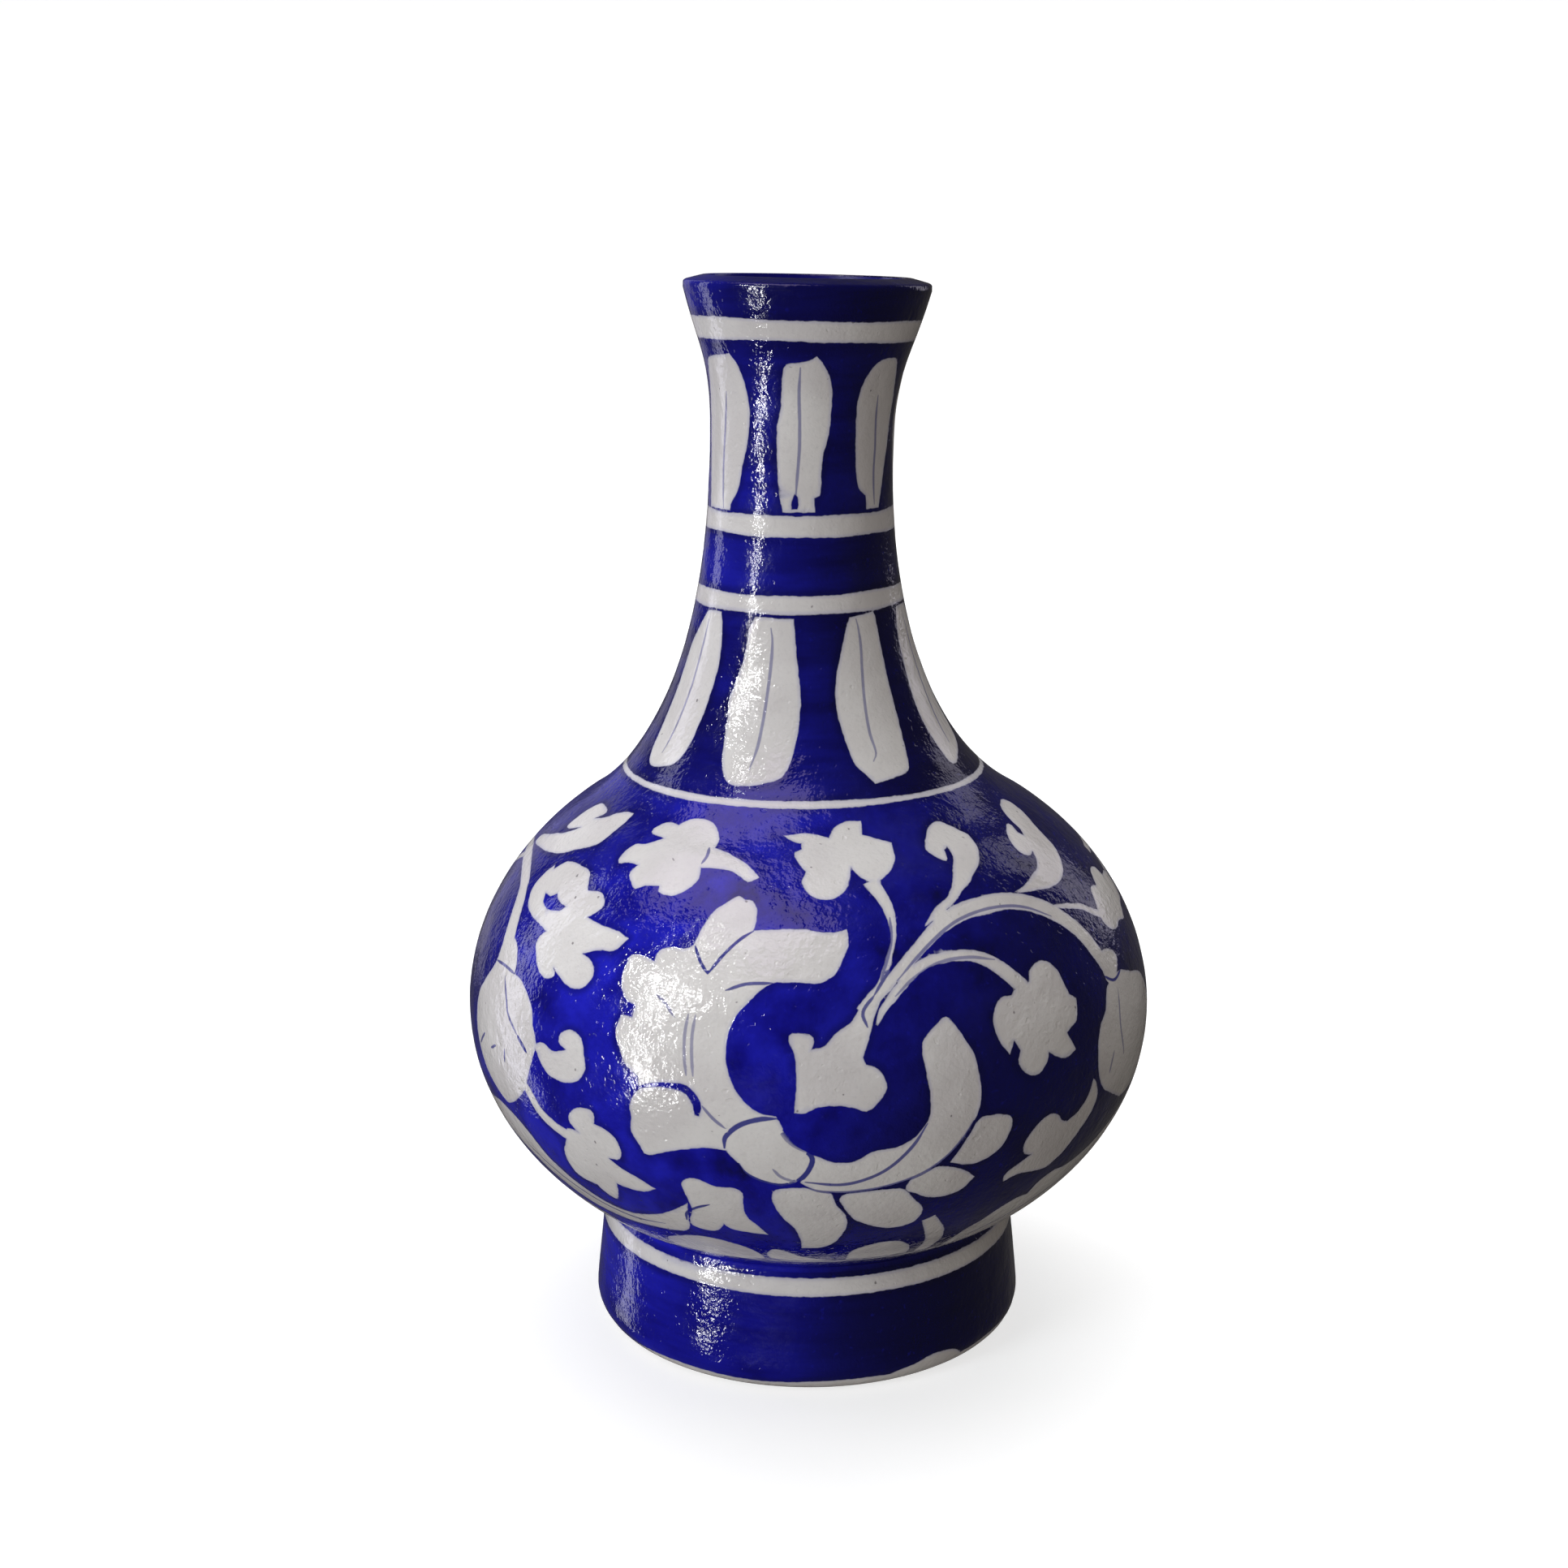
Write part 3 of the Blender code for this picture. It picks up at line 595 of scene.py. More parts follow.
def swirl():
    """The large curled leaf with its ball, in the middle of the belly."""
    return [
        white((-25.8, 53.6), (-26.2, 55.7), (-28.7, 57.75), (-29.7, 59.8), (-30.8, 62.75), (-30.5, 64.8),
              (-30.3, 65.7), (-28.3, 65.7, TIP), (-28.1, 67.75, TIP), (-30.1, 68.6), (-31.2, 70.25),
              (-31.9, 72.75), (-31.5, 74.9), (-31.2, 76.2), (-28.7, 76.4), (-26.5, 75.75, TIP),
              (-26.2, 77.8), (-23.6, 78.9), (-21.8, 78.7), (-20.1, 79.7, TIP), (-19.2, 83.25),
              (-17.9, 86.2), (-15.7, 88.25), (-13.6, 89.7), (-12.2, 89.1, TIP), (-10.7, 88.9), (-9.5, 87),
              (-9.5, 84.9), (-9.8, 83.2, TIP), (-7.5, 83.5), (-3.9, 83.75), (0, 83.75), (2.6, 83.2),
              (5.4, 83.3), (7.05, 83.75, TIP), (7.2, 81.6), (6.15, 78.7), (4.4, 75.75), (2.2, 74.3),
              (-2.1, 74.3), (-5.7, 74.1), (-8.2, 72), (-9.6, 70.3), (-11.1, 68.2), (-12.2, 64.8),
              (-12.2, 60.7), (-11.4, 57.3), (-9.6, 54), (-7.1, 51.9), (-4.6, 51.3, TIP), (-5.5, 47, TIP),
              (-11.5, 44.2, TIP), (-15, 44.5), (-17.9, 43.8), (-21.8, 42.5), (-24.4, 41.3), (-25.8, 41.3),
              (-26.3, 42.75), (-27.6, 45.25), (-27.4, 48.2), (-27.6, 50.25), (-26.9, 52.3)),
        stem((-26.6, 53.7, 0.5), (-23.6, 54.8, 0.7), (-20.8, 55.2, 1.0), (-18.4, 54.9, 1.4),
             (-16.9, 53.4, 1.6), (-16.4, 51.8, 1.5), (-16.5, 50.4, 0.8), is_white=False),
        line((-15.7, 52.3), (-14, 50.2), (-12.2, 48.6), tone=0.5),
        line((-19.8, 79.6), (-18.3, 77), (-16.6, 74.9), tone=0.85),
        line((-16.6, 74.9), (-14.3, 78.7), (-11.8, 81.6), (-9.7, 83.2), tone=0.85),
        line((-13.2, 72.4), (-10, 73.7), (-5.7, 74.1), tone=0.7),
        line((-18.8, 67.75), (-19, 64.4), (-18.8, 60.7), (-18.3, 57.3), tone=0.35),
        line((-17.6, 67.75), (-17.8, 64.4), (-17.6, 60.7), (-17.2, 57.3), tone=0.35),
        line((-24.7, 70.25), (-22.9, 69), (-21.3, 67.1), tone=0.5),
    ]


def ball_and_horn():
    """The ball under the curled leaf, the horn-shaped leaf beside it and the tulip over it."""
    return [
        white((20.3, 66.1), (21.9, 67.1), (22.8, 66.1), (24.6, 62.75), (26, 59.4), (26.6, 55.25),
              (26.7, 51.9), (26, 49), (25.6, 48.2), (23.8, 44.8), (21.3, 41.5), (17.4, 38.6),
              (12.25, 36.7), (7.2, 35.9), (4.4, 35.9), (1.5, 36.5), (-1, 38.2, TIP), (-1.5, 44, TIP),
              (0.8, 44.2), (2.2, 43.4), (4.4, 42.5), (7.2, 42.75), (9.7, 44.4), (12, 44.8),
              (14.2, 45.25), (16.7, 47.3), (18.3, 50.25), (18.4, 54), (17.9, 58.2), (17.4, 61.5),
              (17.9, 63.8)),
        line((-0.3, 38.4), (5.1, 37.75), (8.7, 38.6), (12.25, 40.7), (15.8, 44.8), (18, 49), tone=0.7,
             width=0.65),
        line((-1, 37.8), (1.5, 36.4), (4.4, 35.9), (7.2, 35.9), (12.25, 36.7), (17.4, 38.6), (21.3, 41.5),
             (23.8, 44.8), (25.6, 48.2), tone=0.6, width=0.7),
        white((-12.2, 46.9), (-10, 49.4), (-7.1, 50.7), (-4.6, 51), (-3.5, 49), (-2.1, 46.5), (0.6, 44),
              (0.4, 41.5), (-1.4, 38.6), (-3.9, 37.5), (-7.1, 38.2), (-9.3, 39.8), (-10.4, 41.9),
              (-11.4, 43.2), (-12.4, 44.8)),
        line((-12.4, 44.8), (-12.2, 46.9), (-10, 49.4), (-7.1, 50.7), (-4.6, 51), tone=0.8, width=0.9),
        line((-3.5, 49), (-2.1, 46.5), (0.6, 44), (0.4, 41.5), (-1.4, 38.6), (-3.9, 37.5), (-7.1, 38.2),
             (-9.3, 39.8), (-10.4, 41.9), tone=0.85, width=0.95),
        line((-5.2, 41.1), (-3.9, 39.4), (-1.7, 38.4), tone=0.4),
        line((-3.9, 48.2), (-2.1, 46.1), (0, 44.8), tone=0.4),
        white((-2.8, 65.25), (-0.7, 65.7), (0.9, 65), (0.6, 63, TIP), (2.6, 63.6), (4.4, 65.7),
              (6.9, 67.75), (8.6, 70.9, TIP), (11.8, 71.4, TIP), (10.5, 68.6), (9.4, 64.8), (8.3, 61.5),
              (8.7, 60.25, TIP), (10.5, 59.4), (11.7, 56.9), (11.5, 55.25), (10.1, 53.2), (8.7, 52.1),
              (6.5, 53), (3.6, 53.4), (1.1, 53), (-0.3, 52.1), (-1.9, 52.1, TIP), (-1.7, 55.25),
              (-1.6, 58.2), (-1.9, 61.9)),
        stem((8.2, 69.2, 1.6), (10.4, 71.4, 2.2), (12.8, 73.4, 2.2)),
        line((9.2, 66.5), (8.6, 69), (10.6, 71.8), tone=0.7),
        line((10.6, 71.8), (13, 75.2), (16, 78.2), tone=0.7),
    ]


def low_right():
    """The short leaves along the horn, the stem and the long pale leaf low on the right."""
    return [
        white((26.4, 48.2), (28.2, 48.6), (30.7, 48.2), (32.5, 47.1), (32.3, 44), (30.7, 41.1),
              (27.8, 39.4), (24.9, 39.4), (22.4, 40.5, TIP), (23.8, 43.2), (25.3, 46.1)),
        white((16.3, 38.2, TIP), (19.9, 39.8), (22.4, 39.4), (24.9, 38.2), (27.4, 36, TIP), (25.6, 33.4),
              (22.8, 32.4), (19.9, 32.8), (17.4, 34.25), (15.6, 35.5)),
        white((5.1, 34.25), (6.15, 35.5), (10.5, 35.9), (15.1, 35.7), (16.9, 33.4), (19.3, 30),
              (19.5, 28, TIP), (18.5, 25.5), (15.2, 24.5), (11.5, 25.7), (7.9, 28.4), (5.8, 32.2)),
        white((-5.3, 35.9), (-3.5, 36.75), (0, 37), (3.3, 36.1), (4, 35.1), (4.7, 32.6), (6.3, 29.7),
              (6.7, 25.9), (5.8, 22.2), (4.4, 19.25), (2.2, 17.8), (-1, 17.6, TIP), (-1.2, 21.75),
              (-2.1, 25.5), (-3.9, 28.8), (-5.3, 32.6)),
        white((8.5, 9.4, TIP), (8.7, 14.7), (10.1, 16.75), (13, 18.4), (14.9, 18.8), (17.7, 18.4),
              (20.3, 15.9), (21.7, 13), (22.4, 9.4, TIP)),
        stem((21.3, 26.2, 2.6), (24, 21, 3.6), (25.8, 16, 3.4), (25.8, 9.6, 3.0)),
        white((31, 9.4, TIP), (32.5, 17.2), (35, 20.1), (37.1, 23), (40.4, 25.1), (43.2, 25.1, TIP),
              (44.3, 28.4), (47.2, 30.1), (50, 29.7), (56, 31), (62, 33.5), (70, 38), (78, 42),
              (86, 45), (96, 43.5), (92, 41), (84, 40.5), (76, 35), (68, 26), (62, 19), (55, 14),
              (46, 10.5), (38, 9.4)),
        line((34, 11.5), (40, 16), (48, 20.5), (56, 25), (64, 31), tone=0.5),
        white((-6, 16.5), (-1.5, 13), (3.6, 10.4), (8, 9.4, TIP), (-3, 9.4), (-7.5, 10.5), (-8, 14)),
    ]


def right_flowers():
    """The flower, bud and comma leaf on the right of the belly."""
    return [
        white((38.6, 70.25), (39.3, 71.9), (41.4, 73), (43.6, 72.75), (45.4, 70.7), (46.1, 67.75),
              (46.5, 65.9), (48.1, 64.8, TIP), (47, 61.1), (45.4, 60.25), (44.3, 59.6, TIP),
              (45.9, 56.1, TIP), (43.6, 55.25), (41.4, 56.1), (39.8, 57.3, TIP), (39.3, 55.7), (37.5, 54),
              (35.3, 54.6), (33.7, 56.7), (34.25, 59), (33.2, 60.9, TIP), (32.1, 58.8, TIP), (30.7, 61.1),
              (29.9, 64.4), (30.5, 66.9), (32.1, 68.6), (34.3, 68.6, TIP), (35, 69.4), (37.1, 69.5, TIP)),
        white((57.6, 67.3), (58.3, 69.4), (60.5, 70.25), (63, 69.4), (64.4, 67.75), (63, 65.7),
              (60.5, 64.6), (58.3, 64.4)),
        line((57.4, 66), (60.5, 64.3), (64, 65), tone=0.8),
        white((57.6, 64), (55.4, 60.25), (53.3, 58.2), (52.2, 55.7), (51.8, 51.9), (52.6, 48.2),
              (54.4, 45.7), (56.9, 44), (60.5, 41.9), (64, 40.3), (75, 42), (79, 48), (79, 55), (75, 60.5),
              (68, 63.5), (63, 65.2)),
        line((57.2, 52), (56.4, 50.2), (55.8, 48.2), tone=0.35),
        line((61, 62), (60, 56), (61, 50), tone=0.35),
        white((40.4, 45.5), (42.2, 44.8), (43.6, 43.2), (45, 42.5), (47.5, 43.6), (49.7, 46.1),
              (50.6, 49, TIP), (51.5, 48.2), (52.6, 44.8), (51.8, 41.9), (50, 39.4), (47.9, 36.5),
              (46.5, 34.7), (43.6, 32.6), (40.7, 32.8), (36.8, 33.6), (33.9, 32.6, TIP), (33.5, 34.25),
              (35.3, 36.1), (36.8, 36.9), (38.2, 37.75, TIP), (36.4, 38.6), (35.9, 40.7), (36.8, 42.75),
              (38.6, 44.8)),
    ]


def missed_patch():
    """The patch low on the foot that the brush missed."""
    at = SKIN.run_at_height
    return [
        white((17, at(0.8), TIP), (20, at(2.0)), (24, at(3.2)), (29, at(3.9)), (33, at(4.6)),
              (38, at(4.7)), (42, at(3.9)), (45, at(2.2)), (46, at(0.8), TIP), (46, BOTTOM - 0.4, TIP),
              (17, BOTTOM - 0.4, TIP)),
    ]


def painting():
    """Every painted shape and line, front and back, copied where it crosses the seam."""
    bouquet = (shoulder_flowers() + side_stems() + left_flowers() + low_left() + swirl()
               + ball_and_horn() + low_right() + right_flowers())
    items = bands() + upper_petals() + lower_petals() + bouquet
    items += [item.moved(math.pi) for item in bouquet]
    items += missed_patch()
    copies = []
    for item in items:
        points = item.outline if isinstance(item, Shape) else item.points
        reach = [p[0] for p in points]
        goes_all_round = max(reach) - min(reach) > 5.0
        if goes_all_round:
            copies.append(item)
            continue
        for turn in (-math.tau, 0.0, math.tau):
            if min(reach) + turn < math.pi and max(reach) + turn > -math.pi:
                copies.append(item.moved(turn))
    shapes = [c for c in copies if isinstance(c, Shape)]
    lines = [c for c in copies if isinstance(c, Line)]
    return shapes, lines


# ---------------------------------------------------------------- the painted sheet

def solid(points):
    """Places on the wall in millimetres of points on the flat sheet."""
    points = np.asarray(points, float)
    runs = run_of(points[:, 1])
    r = np.interp(runs, SKIN.runs, SKIN.points[:, 0])
    z = np.interp(runs, SKIN.runs, SKIN.points[:, 1])
    return np.column_stack((r * np.sin(points[:, 0]), -r * np.cos(points[:, 0]), z))


def tree_of(points):
    """A search tree over places in the wall."""
    tree = KDTree(len(points))
    for i, p in enumerate(points):
        tree.insert(Vector(p), i)
    tree.balance()
    return tree


def nearest(tree, places):
    """Distance from each place to the tree's nearest, and which it is."""
    found = [tree.find(Vector(p)) for p in places]
    return np.array([f[2] for f in found]), np.array([f[1] for f in found])


def sheet_rows():
    """Runs of the rows of loose points, closer beside the crease and round the foot's edge."""
    rows = []
    run = BOTTOM
    while run < TOP - EDGE_CLEAR:
        rows.append(run)
        if abs(run - CREASE) < CREASE_REACH:
            run += CREASE_ROW
        elif SKIN.at(run)[1] < EDGE_TOP:
            run += EDGE_ROW
        else:
            run += SHEET_STEP * ROW_SHARE
    return rows


def loose_points(outline_tree):
    """Staggered rows of points that fill the sheet between the outlines."""
    points = []
    for i, run in enumerate(sheet_rows()[1:]):
        across = flat(0, run)[1]
        radius = float(SKIN.at(run)[0])
        near_crease = abs(run - CREASE) < CREASE_COLUMNS_REACH
        step = EDGE_STEP if run < BOTTOM + EDGE_RUN else SHEET_STEP
        count = CREASE_COLUMNS if near_crease else round(math.tau * radius / step)
        shift = 0.0 if near_crease else 0.5 * (i % 2)
        turns = [math.pi * (2 * (j + shift) / count - 1) for j in range(count)]
        points += [(t, across) for t in turns if abs(t) < math.pi - EDGE_CLEAR / radius]
        points += [(-math.pi, across), (math.pi, across)]
    distance, _ = nearest(outline_tree, solid(points))
    on_seam = [abs(abs(p[0]) - math.pi) < ON_LINE for p in points]
    clear = [EDGE_CLEAR if here else KEEP_CLEAR for here in on_seam]
    return [p for p, d, least in zip(points, distance, clear) if d > least]


def guards(lines):
    """Loose points beside each drawn line, so that it keeps its width."""
    points = []
    for item in lines:
        for i, p in enumerate(item.points):
            ahead = item.points[min(i + 1, len(item.points) - 1)] - item.points[max(i - 1, 0)]
            side = np.array((-ahead[1], ahead[0])) / max(np.linalg.norm(ahead), 1e-9)
            reach = LINE_GUARD / scale_at(p)
            points += [p + side * reach, p - side * reach]
    return points


def ring_lines():
    """The lines round the pot where one clay piece ends and the next begins, and the sheet's ends."""
    rings = []
    for run in (BOTTOM, CREASE, EQUATOR, SHOULDER, COLLAR, TOP):
        radius = float(SKIN.at(run)[0])
        count = 2 * round(math.tau * radius / RING_STEP / 2)
        across = flat(0, run)[1]
        rings.append([np.array((math.pi * (2 * j / count - 1), across)) for j in range(count + 1)])
    return rings


def cut(points, edges):
    """Triangles of the sheet with the edges cut into it."""
    verts, _, faces, _, _, _ = delaunay_2d_cdt([Vector(p) for p in points], edges, [], 0, JOIN)
    verts = np.array([v[:] for v in verts], float)
    faces = np.array(faces, int)
    centre = verts[faces].mean(axis=1)
    low, high = flat(0, BOTTOM)[1], flat(0, TOP)[1]
    inside = (np.abs(centre[:, 0]) < math.pi) & (centre[:, 1] > low) & (centre[:, 1] < high)
    corners = verts[faces]
    u, v = corners[:, 1] - corners[:, 0], corners[:, 2] - corners[:, 0]
    area = u[:, 0] * v[:, 1] - u[:, 1] * v[:, 0]
    flip = area < 0
    faces[flip] = faces[flip][:, ::-1]
    return verts, faces[inside]


def covered(places, outline):
    """Which places on the flat sheet are inside an outline."""
    outline = np.asarray(outline)
    low, high = outline.min(axis=0), outline.max(axis=0)
    near = np.flatnonzero(((places > low) & (places < high)).all(axis=1))
    x, y = places[near, 0], places[near, 1]
    inside = np.zeros(len(near), bool)
    for a, b in zip(outline, np.roll(outline, -1, axis=0)):
        if a[1] == b[1]:
            continue
        crosses = (a[1] > y) != (b[1] > y)
        inside ^= crosses & (x < (b[0] - a[0]) * (y - a[1]) / (b[1] - a[1]) + a[0])
    return near[inside]


def seam_partners(corners):
    """Points one side of the seam lacks, so that the two sides meet corner to corner."""
    corners = corners.reshape(-1, 2)
    left = np.unique(corners[np.abs(corners[:, 0] + math.pi) < ON_LINE][:, 1])
    right = np.unique(corners[np.abs(corners[:, 0] - math.pi) < ON_LINE][:, 1])
    partners = []
    for turn, here, there in ((-math.pi, left, right), (math.pi, right, left)):
        partners += [(turn, float(a)) for a in there if np.abs(here - a).min() > JOIN]
    return partners


def labelled(verts, faces, shapes):
    """Whether each triangle is left white."""
    centres = verts[faces].mean(axis=1)
    is_white = np.zeros(len(faces), bool)
    for shape in shapes:
        is_white[covered(centres, shape.outline)] = shape.white
    return is_white


def edge_table(faces):
    """Each edge as a sorted pair of corners, with the triangles on its two sides (-1 for none)."""
    pairs = np.sort(np.concatenate((faces[:, [0, 1]], faces[:, [1, 2]], faces[:, [2, 0]])), axis=1)
    owner = np.tile(np.arange(len(faces)), 3)
    order = np.lexsort((pairs[:, 1], pairs[:, 0]))
    pairs, owner = pairs[order], owner[order]
    first = np.concatenate(([True], (pairs[1:] != pairs[:-1]).any(axis=1)))
    index = np.cumsum(first) - 1
    edges = pairs[first]
    sides = np.full((len(edges), 2), -1)
    sides[index[first], 0] = owner[first]
    sides[index[~first], 1] = owner[~first]
    return edges, sides


def border(verts, faces, is_white):
    """Edges between white and blue, and every edge of the sheet."""
    edges, sides = edge_table(faces)
    both = sides[:, 1] >= 0
    differs = np.zeros(len(edges), bool)
    differs[both] = is_white[sides[both, 0]] != is_white[sides[both, 1]]
    return edges, differs


def sheet_points(shapes, lines):
    """Every point of the flat sheet, and the edges that have to be cut into it."""
    points, edges = [], []

    def chain(chained, closed):
        start = len(points)
        points.extend(tuple(p) for p in chained)
        count = len(chained)
        edges.extend((start + i, start + (i + 1) % count) for i in range(count if closed else count - 1))

    for shape in shapes:
        chain(shape.outline, True)
    for item in lines:
        chain(item.points, False)
    for ring in ring_lines():
        chain(ring, False)
    low, high = flat(0, BOTTOM)[1], flat(0, TOP)[1]
    for turn in (-math.pi, math.pi):
        chain([(turn, low), (turn, high)], False)
    outline_tree = tree_of(solid(points))
    beside = guards(lines)
    distance, _ = nearest(outline_tree, solid(beside))
    extra = [tuple(p) for p, d in zip(beside, distance) if d > GUARD_SHARE * LINE_GUARD]
    for shape in shapes:
        extra += [tuple(p) for p in shape.spine]
    return points + loose_points(tree_of(solid(points + extra))) + extra, edges


def chord_middles(verts, faces, is_white):
    """Middles of the edges that run straight from one painted edge to another."""
    all_edges, differs = border(verts, faces, is_white)
    on_border = np.zeros(len(verts), bool)
    on_border[all_edges[differs].ravel()] = True
    chord = ~differs & on_border[all_edges].all(axis=1)
    middles = verts[all_edges[chord]].mean(axis=1)
    ends = solid(verts[all_edges[chord][:, 0]]) - solid(verts[all_edges[chord][:, 1]])
    is_long = np.linalg.norm(ends, axis=1) > CHORD
    return [tuple(m) for m in middles[is_long & (np.abs(middles[:, 0]) < SEAM_TURN)]]


def edge_distances(verts, faces, is_white, places):
    """Distance of each corner from the nearest painted edge, less than zero in the blue."""
    all_edges, differs = border(verts, faces, is_white)
    ends = places[all_edges[differs]]
    samples = np.concatenate([ends[:, 0] * (1 - t) + ends[:, 1] * t for t in (0.0, 0.33, 0.67)])
    reach, _ = nearest(tree_of(samples), places)
    sign = np.zeros(len(verts))
    np.add.at(sign, faces.ravel(), np.repeat(np.where(is_white, 1.0, -1.0), 3))
    on_border = np.zeros(len(verts), bool)
    on_border[all_edges[differs].ravel()] = True
    return np.where(on_border, 0.0, np.sign(sign) * np.minimum(reach, PAINT_REACH))


def line_distances(lines, places):
    """Distance of each corner from the side of the nearest drawn line, and how dark that line is."""
    drawn = np.concatenate([solid(item.dense(item.points)) for item in lines])
    halves = np.concatenate([item.dense(item.halves) for item in lines])
    tones = np.concatenate([[item.tone] * len(item.dense(item.halves)) for item in lines])
    reach, which = nearest(tree_of(drawn), places)
    return np.minimum(reach - halves[which], LINE_REACH), tones[which]


def painted_sheet():
    """The flat sheet, cut along every outline, with its distances to the painted edges and lines."""
    shapes, lines = painting()
    points, edges = sheet_points(shapes, lines)
    verts, faces = cut(points, edges)
    middles = chord_middles(verts, faces, labelled(verts, faces, shapes))
    verts, faces = cut(points + middles + seam_partners(verts[faces]), edges)
    places = solid(verts)
    edge = edge_distances(verts, faces, labelled(verts, faces, shapes), places)
    gap, tone = line_distances(lines, places)
    return verts, faces, edge, gap, tone


# ---------------------------------------------------------------- clay pieces as flat sheets

class Sheet:
    """The faces of one clay piece before they are wrapped, with what each corner carries."""

    def __init__(self):
        self.corners = []    # turn (radians), radius, height, direction (r, z), smooth, edge, gap, tone
        self.faces = []
        self.zones = []

    def ring(self, place, ahead, turns, smooth_share):
        """A ring of corners with no drawing near them, at one place of the wall; returns their numbers."""
        start = len(self.corners)
        for turn in turns:
            self.corners.append((turn, *place, *ahead, smooth_share, -LINE_REACH, LINE_REACH, 0.0))
        return list(range(start, len(self.corners)))

    def join(self, lower, upper, zone):
        """Triangles between two rings, the second further along the section than the first."""
        i, j = 0, 0
        turn = [c[0] for c in self.corners]
        while i < len(lower) - 1 or j < len(upper) - 1:
            next_low = turn[lower[i + 1]] if i < len(lower) - 1 else math.inf
            next_up = turn[upper[j + 1]] if j < len(upper) - 1 else math.inf
            if next_low <= next_up:
                self.faces.append((lower[i], lower[i + 1], upper[j]))
                i += 1
            else:
                self.faces.append((lower[i], upper[j + 1], upper[j]))
                j += 1
            self.zones.append(zone)


PAINTED, INSIDE, BARE = 0, 1, 2


def even_turns(count=COLUMNS):
    """Turns in radians from one side of the seam to the other."""
    return [math.pi * (2 * i / count - 1) for i in range(count + 1)]


def section_rings(sheet, section, lowest, highest):
    """Rings along the unpainted part of a section, joined to the painted part's two ends."""
    previous = highest
    for spot in section:
        place, ahead, smooth_share, zone = spot
        ring = sheet.ring(place, ahead, even_turns(), smooth_share)
        sheet.join(previous, ring, zone)
        previous = ring
    sheet.join(previous, lowest, section[-1][3])


def piece_sheet(painted, start, end, section):
    """One clay piece: its painted face between two runs, and the rest of its section."""
    verts, faces, edge, gap, tone = painted
    low, high = flat(0, start)[1], flat(0, end)[1]
    centres = verts[faces][:, :, 1].mean(axis=1)
    chosen = faces[(centres > low) & (centres < high)]
    used = np.unique(chosen)
    number = np.full(len(verts), -1)
    number[used] = np.arange(len(used))
    sheet = Sheet()
    for v in used:
        run = run_of(verts[v, 1])
        r, z, ahead_r, ahead_z = SKIN.at(run)
        sheet.corners.append((verts[v, 0], r, z, ahead_r, ahead_z, 1.0, edge[v], gap[v], tone[v]))
    sheet.faces = [tuple(number[f]) for f in chosen]
    sheet.zones = [PAINTED] * len(sheet.faces)
    ends = []
    for across in (low, high):
        row = [v for v in used if abs(verts[v, 1] - across) < ON_LINE]
        ends.append([int(number[v]) for v in sorted(row, key=lambda v: verts[v, 0])])
    section_rings(sheet, section, ends[0], ends[1])
    return sheet


# ---------------------------------------------------------------- Geometry Nodes

def add(tree, kind, inputs=(), **settings):
    """A node whose inputs are given in order, or by name; a None is left as it is."""
    node = tree.nodes.new(kind)
    for name, value in settings.items():
        setattr(node, name, value)
    pairs = inputs.items() if isinstance(inputs, dict) else enumerate(inputs)
    for key, value in pairs:
        if value is None:
            continue
        if isinstance(value, bpy.types.NodeSocket):
            tree.links.new(value, node.inputs[key])
        else:
            node.inputs[key].default_value = value
    return node


def calc(tree, operation, *inputs):
    """One Math node's result."""
    return add(tree, "ShaderNodeMath", inputs, operation=operation).outputs[0]


def vector(tree, operation, *inputs):
    """One Vector Math node's result."""
    return add(tree, "ShaderNodeVectorMath", inputs, operation=operation).outputs[0]


def named(tree, name, data_type="FLOAT"):
    """A named attribute of the sheet."""
    node = add(tree, "GeometryNodeInputNamedAttribute", {"Name": name}, data_type=data_type)
    return node.outputs["Attribute"]


HAND_SIZES = (("Out of Round", 0.3), ("Ripple", 0.22), ("Ripple Size", 11.0), ("Lean", 1.7),
              ("Mouth Tilt", 0.021))
OVAL_TWIST = 0.03            # radians that the oval turns for each millimetre up
EVEN_RADIUS = 16.0           # the wall is dented less and less inside this radius
LEAN_HEIGHT = 210.0          # the height over which the lean is given
TILT_FROM, TILT_TO = 165.0, 201.0
NUDGE = 0.05                 # how far beside a place the wall is felt to find what is square to it


